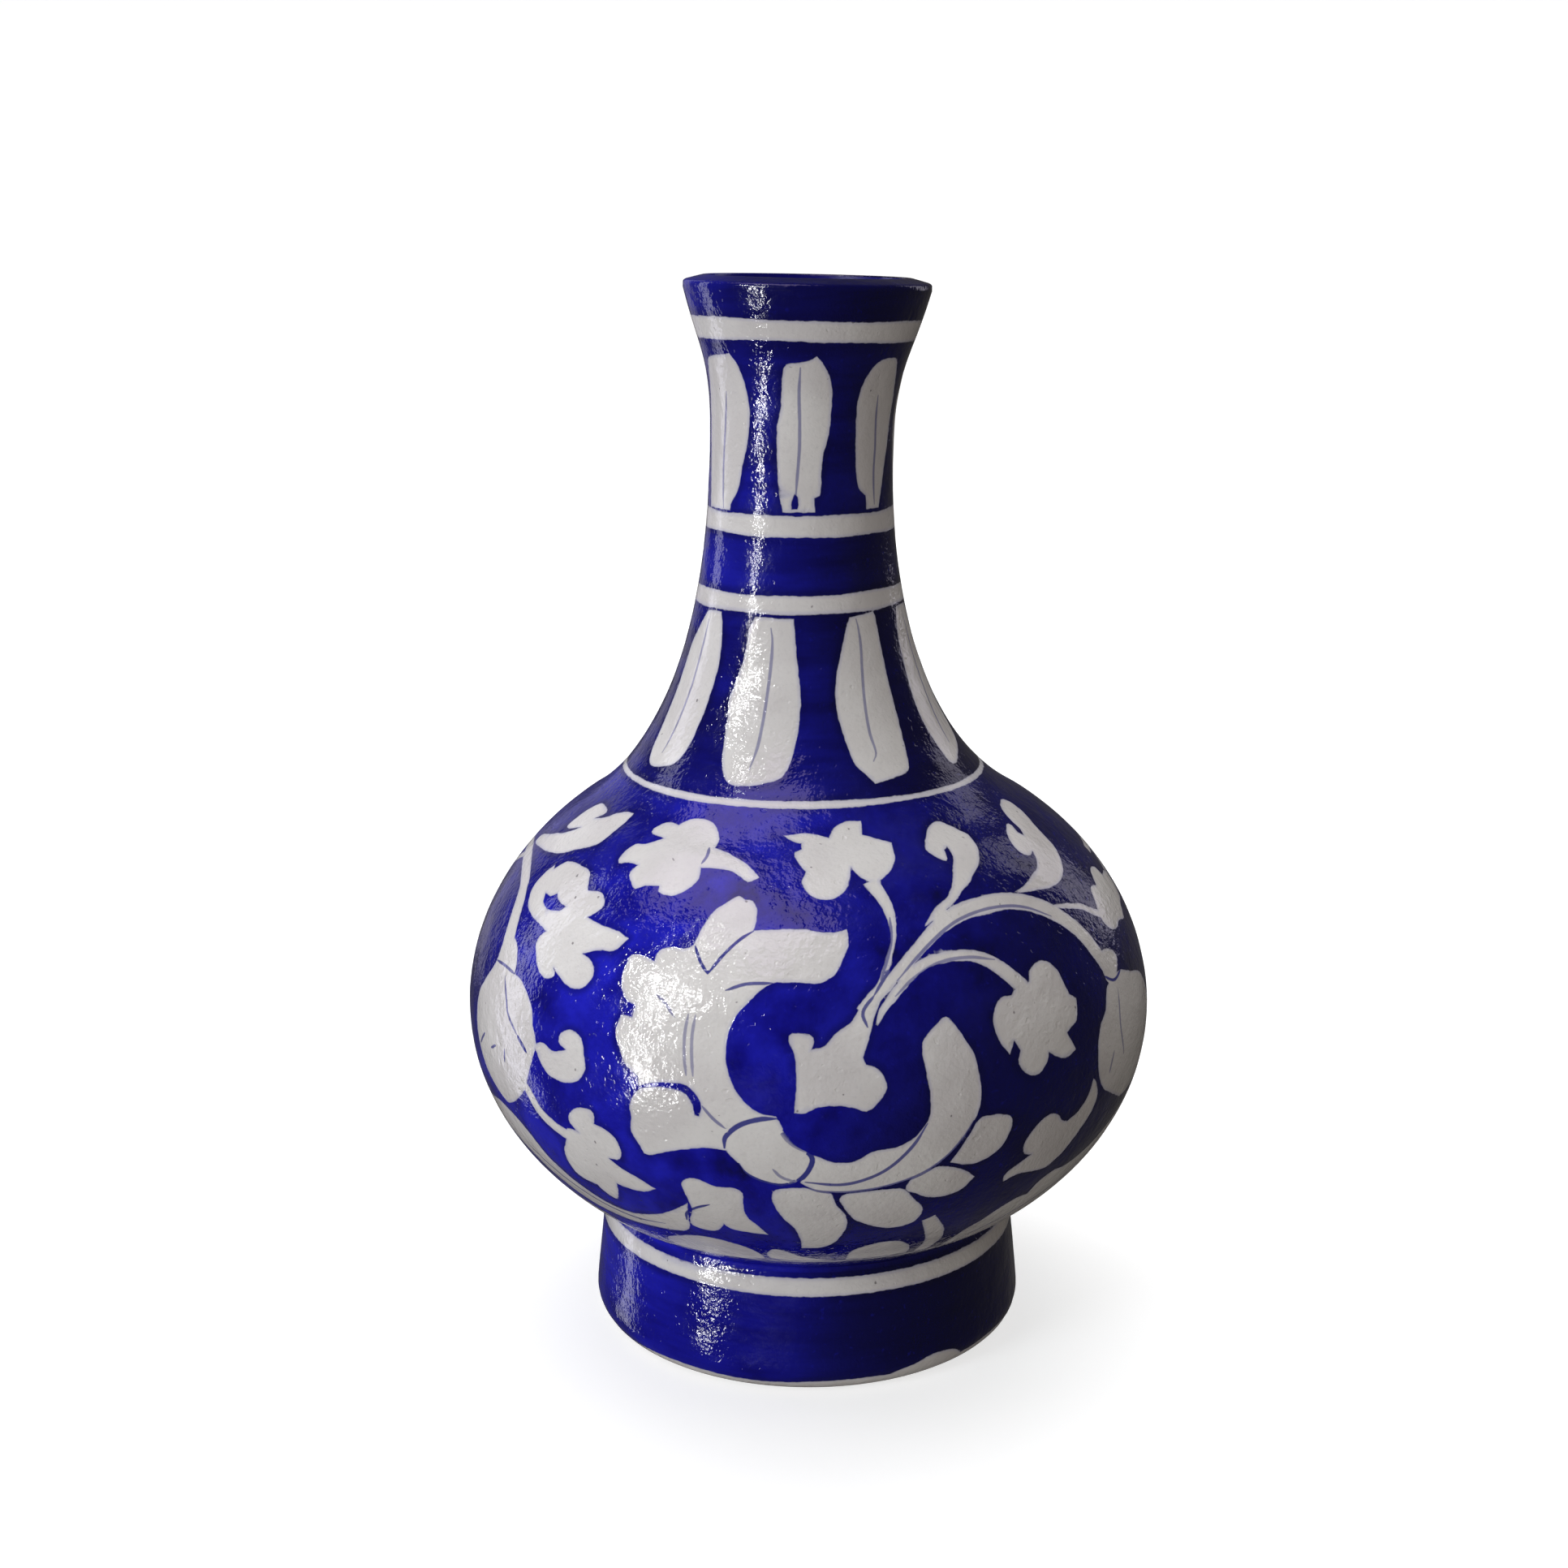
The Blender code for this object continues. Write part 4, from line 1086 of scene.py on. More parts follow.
def wall_rule():
    """The rule of the hand-thrown wall: from turn, radius and height in millimetres to a point."""
    tree = bpy.data.node_groups.new("wall_rule", "GeometryNodeTree")
    face = tree.interface
    for name in ("Turn", "Radius", "Height"):
        face.new_socket(name, in_out="INPUT", socket_type="NodeSocketFloat")
    for name, size in HAND_SIZES:
        face.new_socket(name, in_out="INPUT", socket_type="NodeSocketFloat").default_value = size
    face.new_socket("Point", in_out="OUTPUT", socket_type="NodeSocketVector")
    given = add(tree, "NodeGroupInput").outputs
    turn, radius, height = given["Turn"], given["Radius"], given["Height"]
    sine, cosine = calc(tree, "SINE", turn), calc(tree, "COSINE", turn)
    reach = calc(tree, "SUBTRACT", radius, dents(tree, given, sine, cosine))
    bend = add(tree, "ShaderNodeFloatCurve", (1.0, calc(tree, "DIVIDE", height, LEAN_HEIGHT)))
    lean_curve(bend.mapping.curves[0])
    lean = calc(tree, "MULTIPLY", bend.outputs[0], given["Lean"])
    x = calc(tree, "SUBTRACT", calc(tree, "MULTIPLY", reach, sine), lean)
    y = calc(tree, "MULTIPLY", calc(tree, "MULTIPLY", reach, cosine), -1.0)
    rising = ramp(tree, height, TILT_FROM, TILT_TO)
    drop = calc(tree, "MULTIPLY", calc(tree, "ADD", x, MOUTH_RADIUS + 1.0), given["Mouth Tilt"])
    z = calc(tree, "SUBTRACT", height, calc(tree, "MULTIPLY", drop, rising))
    point = vector(tree, "SCALE", add(tree, "ShaderNodeCombineXYZ", (x, y, z)).outputs[0])
    point.node.inputs["Scale"].default_value = MM
    add(tree, "NodeGroupOutput", (point,))
    return tree


def dents(tree, given, sine, cosine):
    """How far the wall lies inside a true circle: a slow oval and the ripple of the maker's hands."""
    turn, radius, height = given["Turn"], given["Radius"], given["Height"]
    twice = calc(tree, "MULTIPLY", turn, 2.0)
    oval = calc(tree, "COSINE", calc(tree, "MULTIPLY_ADD", height, OVAL_TWIST, twice))
    oval = calc(tree, "MULTIPLY", calc(tree, "MULTIPLY_ADD", oval, 0.5, 0.5), given["Out of Round"])
    spot = add(tree, "ShaderNodeCombineXYZ", (
        calc(tree, "MULTIPLY", calc(tree, "MULTIPLY", radius, sine), 0.5),
        calc(tree, "MULTIPLY", calc(tree, "MULTIPLY", radius, cosine), 0.5),
        calc(tree, "MULTIPLY", height, 1.25))).outputs[0]
    finer = calc(tree, "DIVIDE", 1.0, given["Ripple Size"])
    swell = add(tree, "ShaderNodeTexNoise", {"Vector": spot, "Scale": finer, "Detail": 1.0})
    ripple = calc(tree, "MULTIPLY", swell.outputs[0], given["Ripple"])
    near_axis = add(tree, "ShaderNodeMapRange", (radius, 0.0, EVEN_RADIUS, 0.0, 1.0)).outputs[0]
    return calc(tree, "MULTIPLY", calc(tree, "ADD", oval, ripple), near_axis)


def lean_curve(curve):
    """How far the pot leans to its left at each share of LEAN_HEIGHT, as a share of the whole lean."""
    stops = ((0.0, 0.0), (0.43, 0.0), (0.52, 0.47), (0.58, 0.9), (0.66, 1.0), (0.76, 0.94), (0.83, 0.76),
             (0.9, 0.42), (0.97, 0.2), (1.0, 0.15))
    while len(curve.points) < len(stops):
        curve.points.new(0.5, 0.5)
    for point, stop in zip(curve.points, stops):
        point.location = stop


def turning_tree(rule, materials):
    """Wraps a flat sheet round the wall, closes its seam and poles, and gives it its finishes."""
    tree = bpy.data.node_groups.new("turned_wall", "GeometryNodeTree")
    face = tree.interface
    face.new_socket("Geometry", in_out="INPUT", socket_type="NodeSocketGeometry")
    for name, size in HAND_SIZES + (("Seam Gap", 0.002),):
        face.new_socket(name, in_out="INPUT", socket_type="NodeSocketFloat").default_value = size
    face.new_socket("Geometry", in_out="OUTPUT", socket_type="NodeSocketGeometry")
    given = add(tree, "NodeGroupInput").outputs
    turn, radius, height = named(tree, "turn"), named(tree, "radius"), named(tree, "height")

    def point(turn_by, radius_by, height_by):
        node = add(tree, "GeometryNodeGroup", node_tree=rule)
        values = (calc(tree, "ADD", turn, turn_by), calc(tree, "ADD", radius, radius_by),
                  calc(tree, "ADD", height, height_by))
        for key, value in zip(("Turn", "Radius", "Height"), values):
            tree.links.new(value, node.inputs[key])
        for name, _ in HAND_SIZES:
            tree.links.new(given[name], node.inputs[name])
        return node.outputs[0]

    here = point(0.0, 0.0, 0.0)
    round_by = calc(tree, "DIVIDE", NUDGE, calc(tree, "MAXIMUM", radius, 1.0))
    beside = point(round_by, 0.0, 0.0)
    along = point(0.0, calc(tree, "MULTIPLY", named(tree, "ahead_r"), NUDGE),
                  calc(tree, "MULTIPLY", named(tree, "ahead_z"), NUDGE))
    square = vector(tree, "CROSS_PRODUCT", vector(tree, "SUBTRACT", beside, here),
                    vector(tree, "SUBTRACT", along, here))
    square = vector(tree, "NORMALIZE", square)
    shared = add(tree, "ShaderNodeVectorMath", {0: square, "Scale": named(tree, "smooth_share")},
                 operation="SCALE").outputs[0]
    stored = add(tree, "GeometryNodeStoreNamedAttribute",
                 {"Geometry": given["Geometry"], "Name": "square", "Value": shared},
                 data_type="FLOAT_VECTOR", domain="POINT")
    wrapped = add(tree, "GeometryNodeSetPosition", {"Geometry": stored.outputs[0], "Position": here})
    gap = calc(tree, "MULTIPLY", given["Seam Gap"], MM)
    closed = add(tree, "GeometryNodeMergeByDistance", {"Geometry": wrapped.outputs[0], "Distance": gap})
    last = add(tree, "GeometryNodeRealizeInstances", (closed.outputs[0],)).outputs[0]
    zone = named(tree, "zone", "INT")
    for number, material in enumerate(materials):
        chosen = add(tree, "FunctionNodeCompare", {2: zone, 3: number}, data_type="INT", operation="EQUAL")
        last = add(tree, "GeometryNodeSetMaterial",
                   {"Geometry": last, "Selection": chosen.outputs[0], "Material": material}).outputs[0]
    add(tree, "NodeGroupOutput", (last,))
    return tree


def flat_mesh(name, sheet):
    """A sheet as a mesh, with what its corners carry as attributes."""
    corners = np.array(sheet.corners, float)
    mesh = bpy.data.meshes.new(name)
    mesh.from_pydata(corners[:, [0, 2, 1]].tolist(), [], sheet.faces)
    names = ("turn", "radius", "height", "ahead_r", "ahead_z", "smooth_share", "paint_edge", "line_gap",
             "line_tone")
    for column, attribute in enumerate(names):
        layer = mesh.attributes.new(attribute, "FLOAT", "POINT")
        layer.data.foreach_set("value", corners[:, column].astype(np.float32))
    layer = mesh.attributes.new("zone", "INT", "FACE")
    layer.data.foreach_set("value", np.array(sheet.zones, np.int32))
    return mesh


def wrapped_piece(name, sheet, materials, rule):
    """The finished clay piece, as a plain mesh with the wall's own normals."""
    flat_piece = bpy.data.objects.new(name + "_flat", flat_mesh(name + "_flat", sheet))
    bpy.context.scene.collection.objects.link(flat_piece)
    tree = turning_tree(rule, materials)
    modifier = flat_piece.modifiers.new("turned_wall", "NODES")
    modifier.node_group = tree
    sizes = dict(HAND_SIZES)
    for item in tree.interface.items_tree:
        if item.in_out == "INPUT" and item.name in sizes:
            modifier[item.identifier] = sizes[item.name]
    graph = bpy.context.evaluated_depsgraph_get()
    mesh = bpy.data.meshes.new_from_object(flat_piece.evaluated_get(graph), preserve_all_data_layers=True,
                                           depsgraph=graph)
    mesh.name = name
    bpy.data.objects.remove(flat_piece)
    normals = np.zeros(len(mesh.vertices) * 3, np.float32)
    mesh.attributes["square"].data.foreach_get("vector", normals)
    mesh.shade_smooth()
    mesh.set_sharp_from_angle(angle=SHARP_EDGE)
    mesh.normals_split_custom_set_from_vertices(normals.reshape(-1, 3).tolist())
    for attribute in ("turn", "radius", "height", "ahead_r", "ahead_z", "smooth_share", "square", "zone"):
        mesh.attributes.remove(mesh.attributes[attribute])
    piece = bpy.data.objects.new(name, mesh)
    bpy.context.scene.collection.objects.link(piece)
    return piece


# ---------------------------------------------------------------- sections of the pieces

def spots(places, zone, is_smooth=False, closed=False):
    """Section spots from (radius, height) places, with the direction of the section at each."""
    spots_made = []
    count = len(places)
    for i, place in enumerate(places):
        before = places[i - 1] if i > 0 or closed else place
        after = places[(i + 1) % count] if i < count - 1 or closed else place
        ahead = (after[0] - before[0], after[1] - before[1])
        length = max(math.hypot(*ahead), 1e-9)
        spots_made.append((place, (ahead[0] / length, ahead[1] / length), 1.0 if is_smooth else 0.0, zone))
    return spots_made


def joint_face(joint, side):
    """One side of a joint, from outside to inside, with room for the slip ring."""
    wall = thickness(joint)
    step = JOINT_STEP * side
    return [SKIN.place(joint, JOINT_MOUTH), SKIN.place(joint + step, JOINT_SHELF),
            SKIN.place(joint + step, wall - JOINT_INSET), SKIN.place(joint + JOINT_GAP * side, wall)]


def inner_wall(start, end):
    """The inside of the wall between two runs."""
    count = max(1, math.ceil(abs(end - start) / 2.5))
    places = []
    for i in range(1, count):
        run = start + (end - start) * i / count
        places.append(SKIN.place(run, thickness(run)))
    return places


def between_joints(lower, upper):
    """The unpainted part of a section that runs from one joint to another."""
    section = spots(joint_face(upper, -1), BARE)
    section += spots(inner_wall(upper - JOINT_GAP, lower + JOINT_GAP), INSIDE, True)
    section += spots(joint_face(lower, 1)[::-1], BARE)
    return section


def lower_bowl_section():
    """The unpainted part of the lower bowl: its joint, its inside with the floor, and its underside."""
    section = spots(joint_face(EQUATOR, -1), BARE)
    inner = []
    for i in range(1, 36):
        run = (UNDERSIDE.runs[-1] - JOINT_GAP) * (1.0 - i / 36)
        inner.append(UNDERSIDE.place(run, BELLY_WALL))
    inner = [p for p in inner if p[0] > 0.4]
    section += spots(inner + [(0.0, inner[-1][1])], INSIDE, True)
    below = [UNDERSIDE.place(run) for run in np.linspace(0.0, crease_run(), 18)[:-1]]
    below[0] = (0.0, below[0][1])
    section += spots(below, BARE, True)
    return section


def crease_run():
    """Run of the crease along the whole bowl, from the axis."""
    return float(np.interp(SKIN.at(CREASE)[0], UNDERSIDE.points[:, 0], UNDERSIDE.runs))


def foot_section():
    """The unpainted part of the foot: its seat under the bowl, its inside and its pad."""
    inner_run = float(np.interp(FOOT_INNER_RADIUS, UNDERSIDE.points[:, 0], UNDERSIDE.runs))
    runs = np.linspace(crease_run() - SEAT_GAP, inner_run, 4)
    seat = [UNDERSIDE.place(run, -SEAT_GAP) for run in runs]
    section = spots(seat, BARE)
    top = seat[-1][1]
    inside = [(FOOT_INNER_RADIUS, z) for z in np.linspace(top - 0.8, 1.8, 8)]
    section += spots(inside, BARE)
    pad = [(PAD_INNER_RADIUS - PAD_BEVEL[0], PAD_BEVEL[1]), (PAD_INNER_RADIUS, 0.0),
           (PAD_OUTER_RADIUS - PAD_EDGE, 0.0)]
    return section + spots(pad, BARE)


def collar_section():
    """The unpainted part of the mouth collar: the rounded lip, the inside of the neck and the joint."""
    outer = SKIN.place(TOP)
    inner = SKIN.place(TOP, MOUTH_WALL)
    middle = ((outer[0] + inner[0]) / 2, (outer[1] + inner[1]) / 2)
    across = (outer[0] - middle[0], outer[1] - middle[1])
    lip = []
    for i in range(1, LIP_STEPS):
        turn = math.pi * i / LIP_STEPS
        side = math.copysign(abs(math.cos(turn)) ** LIP_SQUARE, math.cos(turn))
        rise = LIP_RISE * math.sin(turn) ** LIP_SQUARE
        lip.append((middle[0] + across[0] * side, middle[1] + across[1] * side + rise))
    section = spots(lip, PAINTED, True)
    section += spots(inner_wall(TOP + 0.3, COLLAR + JOINT_GAP), INSIDE, True)
    section += spots(joint_face(COLLAR, 1)[::-1], BARE)
    return section


def slip_ring(name, joint, materials, rule):
    """The ring of slip inside a joint, which shows as a low bead on the inside of the wall."""
    wall = thickness(joint)
    loop = [SKIN.place(joint + run, depth) for run, depth in BEAD_FRONT]
    loop += [SKIN.place(joint + run, wall + depth) for run, depth in BEAD_BACK]
    return ring_piece(name, loop, materials, rule)


def ring_piece(name, loop, materials, rule):
    """A closed ring with a section given as a loop of places."""
    sheet = Sheet()
    section = spots(loop, PAINTED, closed=True)
    rings = [sheet.ring(place, ahead, even_turns(), share) for place, ahead, share, _ in section]
    for lower, upper in zip(rings, rings[1:] + rings[:1]):
        sheet.join(lower, upper, PAINTED)
    return wrapped_piece(name, sheet, materials, rule)


def seat_ring(name, materials, rule):
    """The bed of slip between the foot and the underside of the bowl."""
    outer = crease_run() - 1.2
    inner = float(np.interp(FOOT_INNER_RADIUS, UNDERSIDE.points[:, 0], UNDERSIDE.runs))
    bed = ((inner - 0.5, BED_LOW), (outer, BED_LOW), (outer, BED_HIGH), (inner, BED_HIGH),
           (inner - 1.0, -0.08), (inner - 1.1, -0.5))
    return ring_piece(name, [UNDERSIDE.place(run, depth) for run, depth in bed], materials, rule)


# ---------------------------------------------------------------- finishes

def linear(red, green, blue_part):
    """A colour from the usual 0 to 255 values."""
    values = []
    for value in (red, green, blue_part):
        share = value / 255.0
        values.append(share / 12.92 if share <= 0.04045 else ((share + 0.055) / 1.055) ** 2.4)
    return (*values, 1.0)


def new_finish(name):
    """An empty node material with its shader."""
    material = bpy.data.materials.new(name)
    material.use_nodes = True
    return material, material.node_tree, material.node_tree.nodes["Principled BSDF"]


def noise(tree, where, scale, detail=2.0, roughness=0.5):
    """Noise from 0 to 1 over the object's own coordinates."""
    node = add(tree, "ShaderNodeTexNoise",
               {"Vector": where, "Scale": scale, "Detail": detail, "Roughness": roughness})
    return node.outputs[0]


def ramp(tree, value, low, high, to_low=0.0, to_high=1.0):
    """A smooth step of a value from one range to another."""
    node = add(tree, "ShaderNodeMapRange", (value, low, high, to_low, to_high),
               interpolation_type="SMOOTHSTEP")
    return node.outputs[0]


def blend(tree, share, first, second):
    """A mix of two colours."""
    node = add(tree, "ShaderNodeMix", {0: share, 6: first, 7: second}, data_type="RGBA")
    return node.outputs[2]


def dress(tree, shader, colour, roughness, bump, specular=0.5):
    """Gives a shader its colour, roughness, gloss and relief: strength, depth in metres and height."""
    strength, distance, height = bump
    relief = add(tree, "ShaderNodeBump", {"Strength": strength, "Distance": distance, "Height": height})
    tree.links.new(colour, shader.inputs["Base Color"])
    tree.links.new(relief.outputs[0], shader.inputs["Normal"])
    tree.links.new(roughness, shader.inputs["Roughness"])
    shader.inputs["Specular IOR Level"].default_value = specular


def attribute(tree, name):
    """A number that the mesh carries."""
    return add(tree, "ShaderNodeAttribute", attribute_name=name).outputs["Fac"]


def own_place(tree, scale=(1.0, 1.0, 1.0)):
    """The object's own coordinates, stretched."""
    place = add(tree, "ShaderNodeTexCoord").outputs["Object"]
    return add(tree, "ShaderNodeMapping", {"Vector": place, "Scale": scale}).outputs[0]


def cobalt_colour(tree, place, brushed, edge, shade_side, deep, watery, pooled_and_shade):
    """Cobalt: painted shade darkens it towards one side (+X), dark where it pooled, watery where the brush
    ran dry.
    """
    patches = noise(tree, place, 38.0, 3.0)
    clouds = noise(tree, place, 17.0, 1.0)
    streaks = noise(tree, brushed, 150.0, 3.0, 0.6)
    grain = noise(tree, place, 900.0, 2.0)
    wet = calc(tree, "MULTIPLY_ADD", streaks, 0.55, calc(tree, "MULTIPLY", patches, 0.6))
    colour = blend(tree, ramp(tree, wet, 0.42, 0.8), deep, watery)
    colour = blend(tree, ramp(tree, wet, 0.5, 0.3, 0.0, 0.9), colour, pooled_and_shade)
    colour = blend(tree, ramp(tree, clouds, 0.5, 0.68, 0.0, 0.65), colour, pooled_and_shade)
    # painted shade: the cobalt is blended toward the dark pooled colour across +X, where the pot's right side
    # falls in shade
    across = add(tree, "ShaderNodeSeparateXYZ", (place,)).outputs[0]
    across = calc(tree, "MULTIPLY_ADD", calc(tree, "SUBTRACT", patches, 0.5), 0.05, across)
    colour = blend(tree, ramp(tree, across, *shade_side, 0.0, 0.85), colour, pooled_and_shade)
    pooled = calc(tree, "MULTIPLY", ramp(tree, edge, -1.8, -0.2), ramp(tree, patches, 0.45, 0.6, 0.0, 0.45))
    colour = blend(tree, pooled, colour, pooled_and_shade)
    return blend(tree, ramp(tree, grain, 0.62, 0.8, 0.0, 0.22), colour, watery)


def white_colour(tree, place, edge):
    """The white ground: warm grey under clear glaze, with clouds, specks and a blue breath at its edge."""
    clouds = noise(tree, place, 60.0, 3.0)
    grain = noise(tree, place, 1400.0, 2.0)
    specks = noise(tree, place, 900.0, 0.0)
    colour = blend(tree, ramp(tree, clouds, 0.35, 0.65), linear(199, 195, 195), linear(209, 206, 205))
    colour = blend(tree, ramp(tree, grain, 0.5, 0.8, 0.0, 0.22), colour, linear(172, 168, 172))
    breath = ramp(tree, edge, 0.75, 0.0, 0.0, 0.3)
    colour = blend(tree, breath, colour, linear(132, 134, 186))
    return blend(tree, ramp(tree, specks, 0.84, 0.9, 0.0, 0.7), colour, linear(88, 80, 86))


def painted_colour(tree, place, brush, edge, is_white, wander, cobalt):
    """Cobalt and white ground with the drawn lines, where the painter left each."""
    gap = calc(tree, "MULTIPLY_ADD", wander, 0.1, attribute(tree, "line_gap"))
    strength = ramp(tree, attribute(tree, "line_tone"), 0.0, 1.0, 0.35, 1.0)
    drawn = calc(tree, "MULTIPLY", ramp(tree, gap, 0.12, -0.1), strength)
    ground = blend(tree, drawn, white_colour(tree, place, edge), linear(30, 36, 126))
    return blend(tree, is_white, cobalt_colour(tree, place, own_place(tree, brush), edge, *cobalt), ground)


def glaze_relief(tree, place, is_white):
    """The height of the glaze: orange peel, slow swells, pits, and the paint's own thickness."""
    peel = noise(tree, place, 430.0, 3.0, 0.62)
    swell = noise(tree, place, 95.0, 1.0)
    pits = ramp(tree, noise(tree, place, 700.0, 1.0), 0.24, 0.34)
    relief = calc(tree, "MULTIPLY_ADD", swell, 2.2, peel)
    relief = calc(tree, "MULTIPLY_ADD", pits, 0.25, relief)
    relief = calc(tree, "MULTIPLY_ADD", noise(tree, place, 1150.0, 1.0), 0.3, relief)
    return calc(tree, "MULTIPLY_ADD", is_white, -0.12, relief)


def painted_glaze(name, brush, relief_depth, *cobalt):
    """Clear glaze over cobalt painting on a white ground. brush is how far strokes are drawn out.
    cobalt is where across the pot the painted shade towards +X begins and ends, and its three colours."""
    material, tree, shader = new_finish(name)
    place = own_place(tree)
    edge = attribute(tree, "paint_edge")
    wander = calc(tree, "SUBTRACT", noise(tree, place, 620.0, 2.0), 0.5)
    is_white = ramp(tree, calc(tree, "MULTIPLY_ADD", wander, 0.42, edge), -0.13, 0.13)
    colour = painted_colour(tree, place, brush, edge, is_white, wander, cobalt)
    roughness = ramp(tree, noise(tree, place, 210.0, 3.0), 0.3, 0.8, 0.06, 0.18)
    dress(tree, shader, colour, roughness, (1.0, relief_depth, glaze_relief(tree, place, is_white)))
    return material


def inside_glaze(name):
    """The thin milky glaze inside the pot, with the mouth's cobalt run down over its edge."""
    material, tree, shader = new_finish(name)
    place = own_place(tree)
    clouds = noise(tree, place, 70.0, 3.0)
    colour = blend(tree, ramp(tree, clouds, 0.3, 0.7), linear(172, 168, 170), linear(196, 192, 190))
    specks = noise(tree, place, 380.0, 0.0)
    colour = blend(tree, ramp(tree, specks, 0.78, 0.84, 0.0, 0.7), colour, linear(80, 70, 70))
    height = add(tree, "ShaderNodeSeparateXYZ", (place,)).outputs[2]
    ragged = calc(tree, "MULTIPLY_ADD", noise(tree, place, 130.0, 3.0), 0.009, height)
    colour = blend(tree, ramp(tree, ragged, 0.1985, 0.2005), colour, linear(12, 8, 104))
    throwing = noise(tree, own_place(tree, (0.6, 0.6, 2.0)), 260.0, 3.0)
    dress(tree, shader, colour, ramp(tree, clouds, 0.2, 0.8, 0.16, 0.34), (0.7, 0.0002, throwing), 0.4)
    return material


def bare_body(name):
    """The fired body where it is not glazed: chalky, sandy and a little stained."""
    material, tree, shader = new_finish(name)
    place = own_place(tree)
    stain = noise(tree, place, 45.0, 3.0)
    sand = noise(tree, place, 1500.0, 2.0)
    colour = blend(tree, ramp(tree, stain, 0.35, 0.7), linear(206, 196, 182), linear(186, 172, 154))
    colour = blend(tree, ramp(tree, sand, 0.55, 0.75, 0.0, 0.5), colour, linear(140, 124, 106))
    grit = noise(tree, place, 800.0, 4.0, 0.7)
    dress(tree, shader, colour, ramp(tree, sand, 0.3, 0.7, 0.7, 0.92), (0.8, 0.00025, grit), 0.25)
    return material


def joint_clay(name):
    """The slip in the joints, smoothed with a wet finger."""
    material, tree, shader = new_finish(name)
    place = own_place(tree)
    smears = noise(tree, own_place(tree, (1.0, 1.0, 4.0)), 180.0, 3.0)
    colour = blend(tree, ramp(tree, smears, 0.35, 0.7), linear(192, 184, 172), linear(164, 152, 138))
    roughness = ramp(tree, noise(tree, place, 300.0), 0.3, 0.7, 0.5, 0.8)
    dress(tree, shader, colour, roughness, (0.7, 0.0002, smears))
    return material


# ---------------------------------------------------------------- stage, lights and camera

def floor_finish():
    """Plain pale floor paint."""
    material, tree, shader = new_finish("floor_paint")
    tone = noise(tree, own_place(tree), 3.0, 2.0)
    colour = blend(tree, tone, linear(190, 190, 190), linear(186, 186, 187))
    tree.links.new(colour, shader.inputs["Base Color"])
    shader.inputs["Roughness"].default_value = 0.9
    shader.inputs["Specular IOR Level"].default_value = 0.1
    shader.inputs["Emission Color"].default_value = linear(250, 250, 250)
    shader.inputs["Emission Strength"].default_value = 0.72
    return material


def studio_floor():
    """The mesh of a pale round floor that sweeps up all the way round."""
    flat_radius, sweep, height, count = 2.0, 0.9, 3.2, 96
    profile = [(0.5, FLOOR_DROP), (flat_radius, FLOOR_DROP)]
    profile += [(flat_radius + sweep * math.sin(a), FLOOR_DROP + sweep * (1.0 - math.cos(a)))
                for a in (math.radians(d) for d in range(6, 91, 6))]
    profile.append((flat_radius + sweep, height))
    verts, faces = [(0.0, 0.0, FLOOR_DROP)], []
    for r, z in profile:
        for i in range(count):
            turn = math.tau * i / count
            verts.append((r * math.cos(turn), r * math.sin(turn), z))
    for i in range(count):
        j = (i + 1) % count
        faces.append((0, 1 + i, 1 + j))
        for ring in range(len(profile) - 1):
            low, high = 1 + ring * count, 1 + (ring + 1) * count
            faces.append((low + i, high + i, high + j, low + j))
    mesh = bpy.data.meshes.new("studio_floor")
    mesh.from_pydata(verts, [], faces)
    mesh.shade_smooth()
    mesh.materials.append(floor_finish())
    return mesh


def stand_floor():
    """Lays the floor, which neither shines on the pot nor shadows it."""
    floor = bpy.data.objects.new("studio_floor", studio_floor())
    bpy.context.scene.collection.objects.link(floor)
    floor.visible_glossy = False
    floor.visible_diffuse = False
    floor.visible_shadow = False


def soft_light(name, place, aim, width, height, power, colour=(1.0, 1.0, 1.0)):
    """An area light at a place in metres that faces another."""
    data = bpy.data.lights.new(name, "AREA")
    data.shape = "RECTANGLE"
    data.size = width
    data.size_y = height
    data.energy = power
    data.color = colour
    light = bpy.data.objects.new(name, data)
    light.location = place
    back = Vector(place) - Vector(aim)
    light.rotation_euler = back.to_track_quat("Z", "Y").to_euler()
    bpy.context.scene.collection.objects.link(light)
    return light


def around(azimuth, elevation, distance):
    """A place round the middle of the pot; azimuth is from the camera, positive to its right."""
    a, e = math.radians(azimuth), math.radians(elevation)
    return (distance * math.sin(a) * math.cos(e), -distance * math.cos(a) * math.cos(e),
            0.1 + distance * math.sin(e))


POT_MIDDLE = (0.0, 0.0, 0.1)
LIGHT_DISTANCE = 1.5
DAYLIGHT = (0.93, 0.97, 1.0)
VIOLET = (0.85, 0.8, 1.0)

# The panes that the glaze mirrors: azimuth, elevation, distance, width, height, power and colour.
PANES = (
    ("high_pane", -50, 48, LIGHT_DISTANCE, 0.09, 0.2, 1.2, (1.0, 1.0, 1.0)),
    ("left_pane", -60, 29, LIGHT_DISTANCE, 0.13, 0.11, 4.2, (1.0, 1.0, 1.0)),
    ("right_pane", -42, 25, LIGHT_DISTANCE, 0.2, 0.06, 2.9, (1.0, 1.0, 1.0)),
    ("low_pane", -54, 9, LIGHT_DISTANCE, 0.12, 0.06, 0.45, (1.0, 1.0, 1.0)),
    ("foot_pane", -50, -13, LIGHT_DISTANCE, 0.12, 0.3, 1.9, (1.0, 1.0, 1.0)),
    ("violet_sky", -58, 68, 1.6, 1.6, 0.85, 8.5, (0.85, 0.68, 1.0)),
    ("left_edge", -150, 12, LIGHT_DISTANCE, 0.6, 1.5, 1.0, VIOLET),
    ("right_edge", 130, 22, LIGHT_DISTANCE, 0.35, 1.1, 1.3, (0.85, 0.8, 0.95)),
)


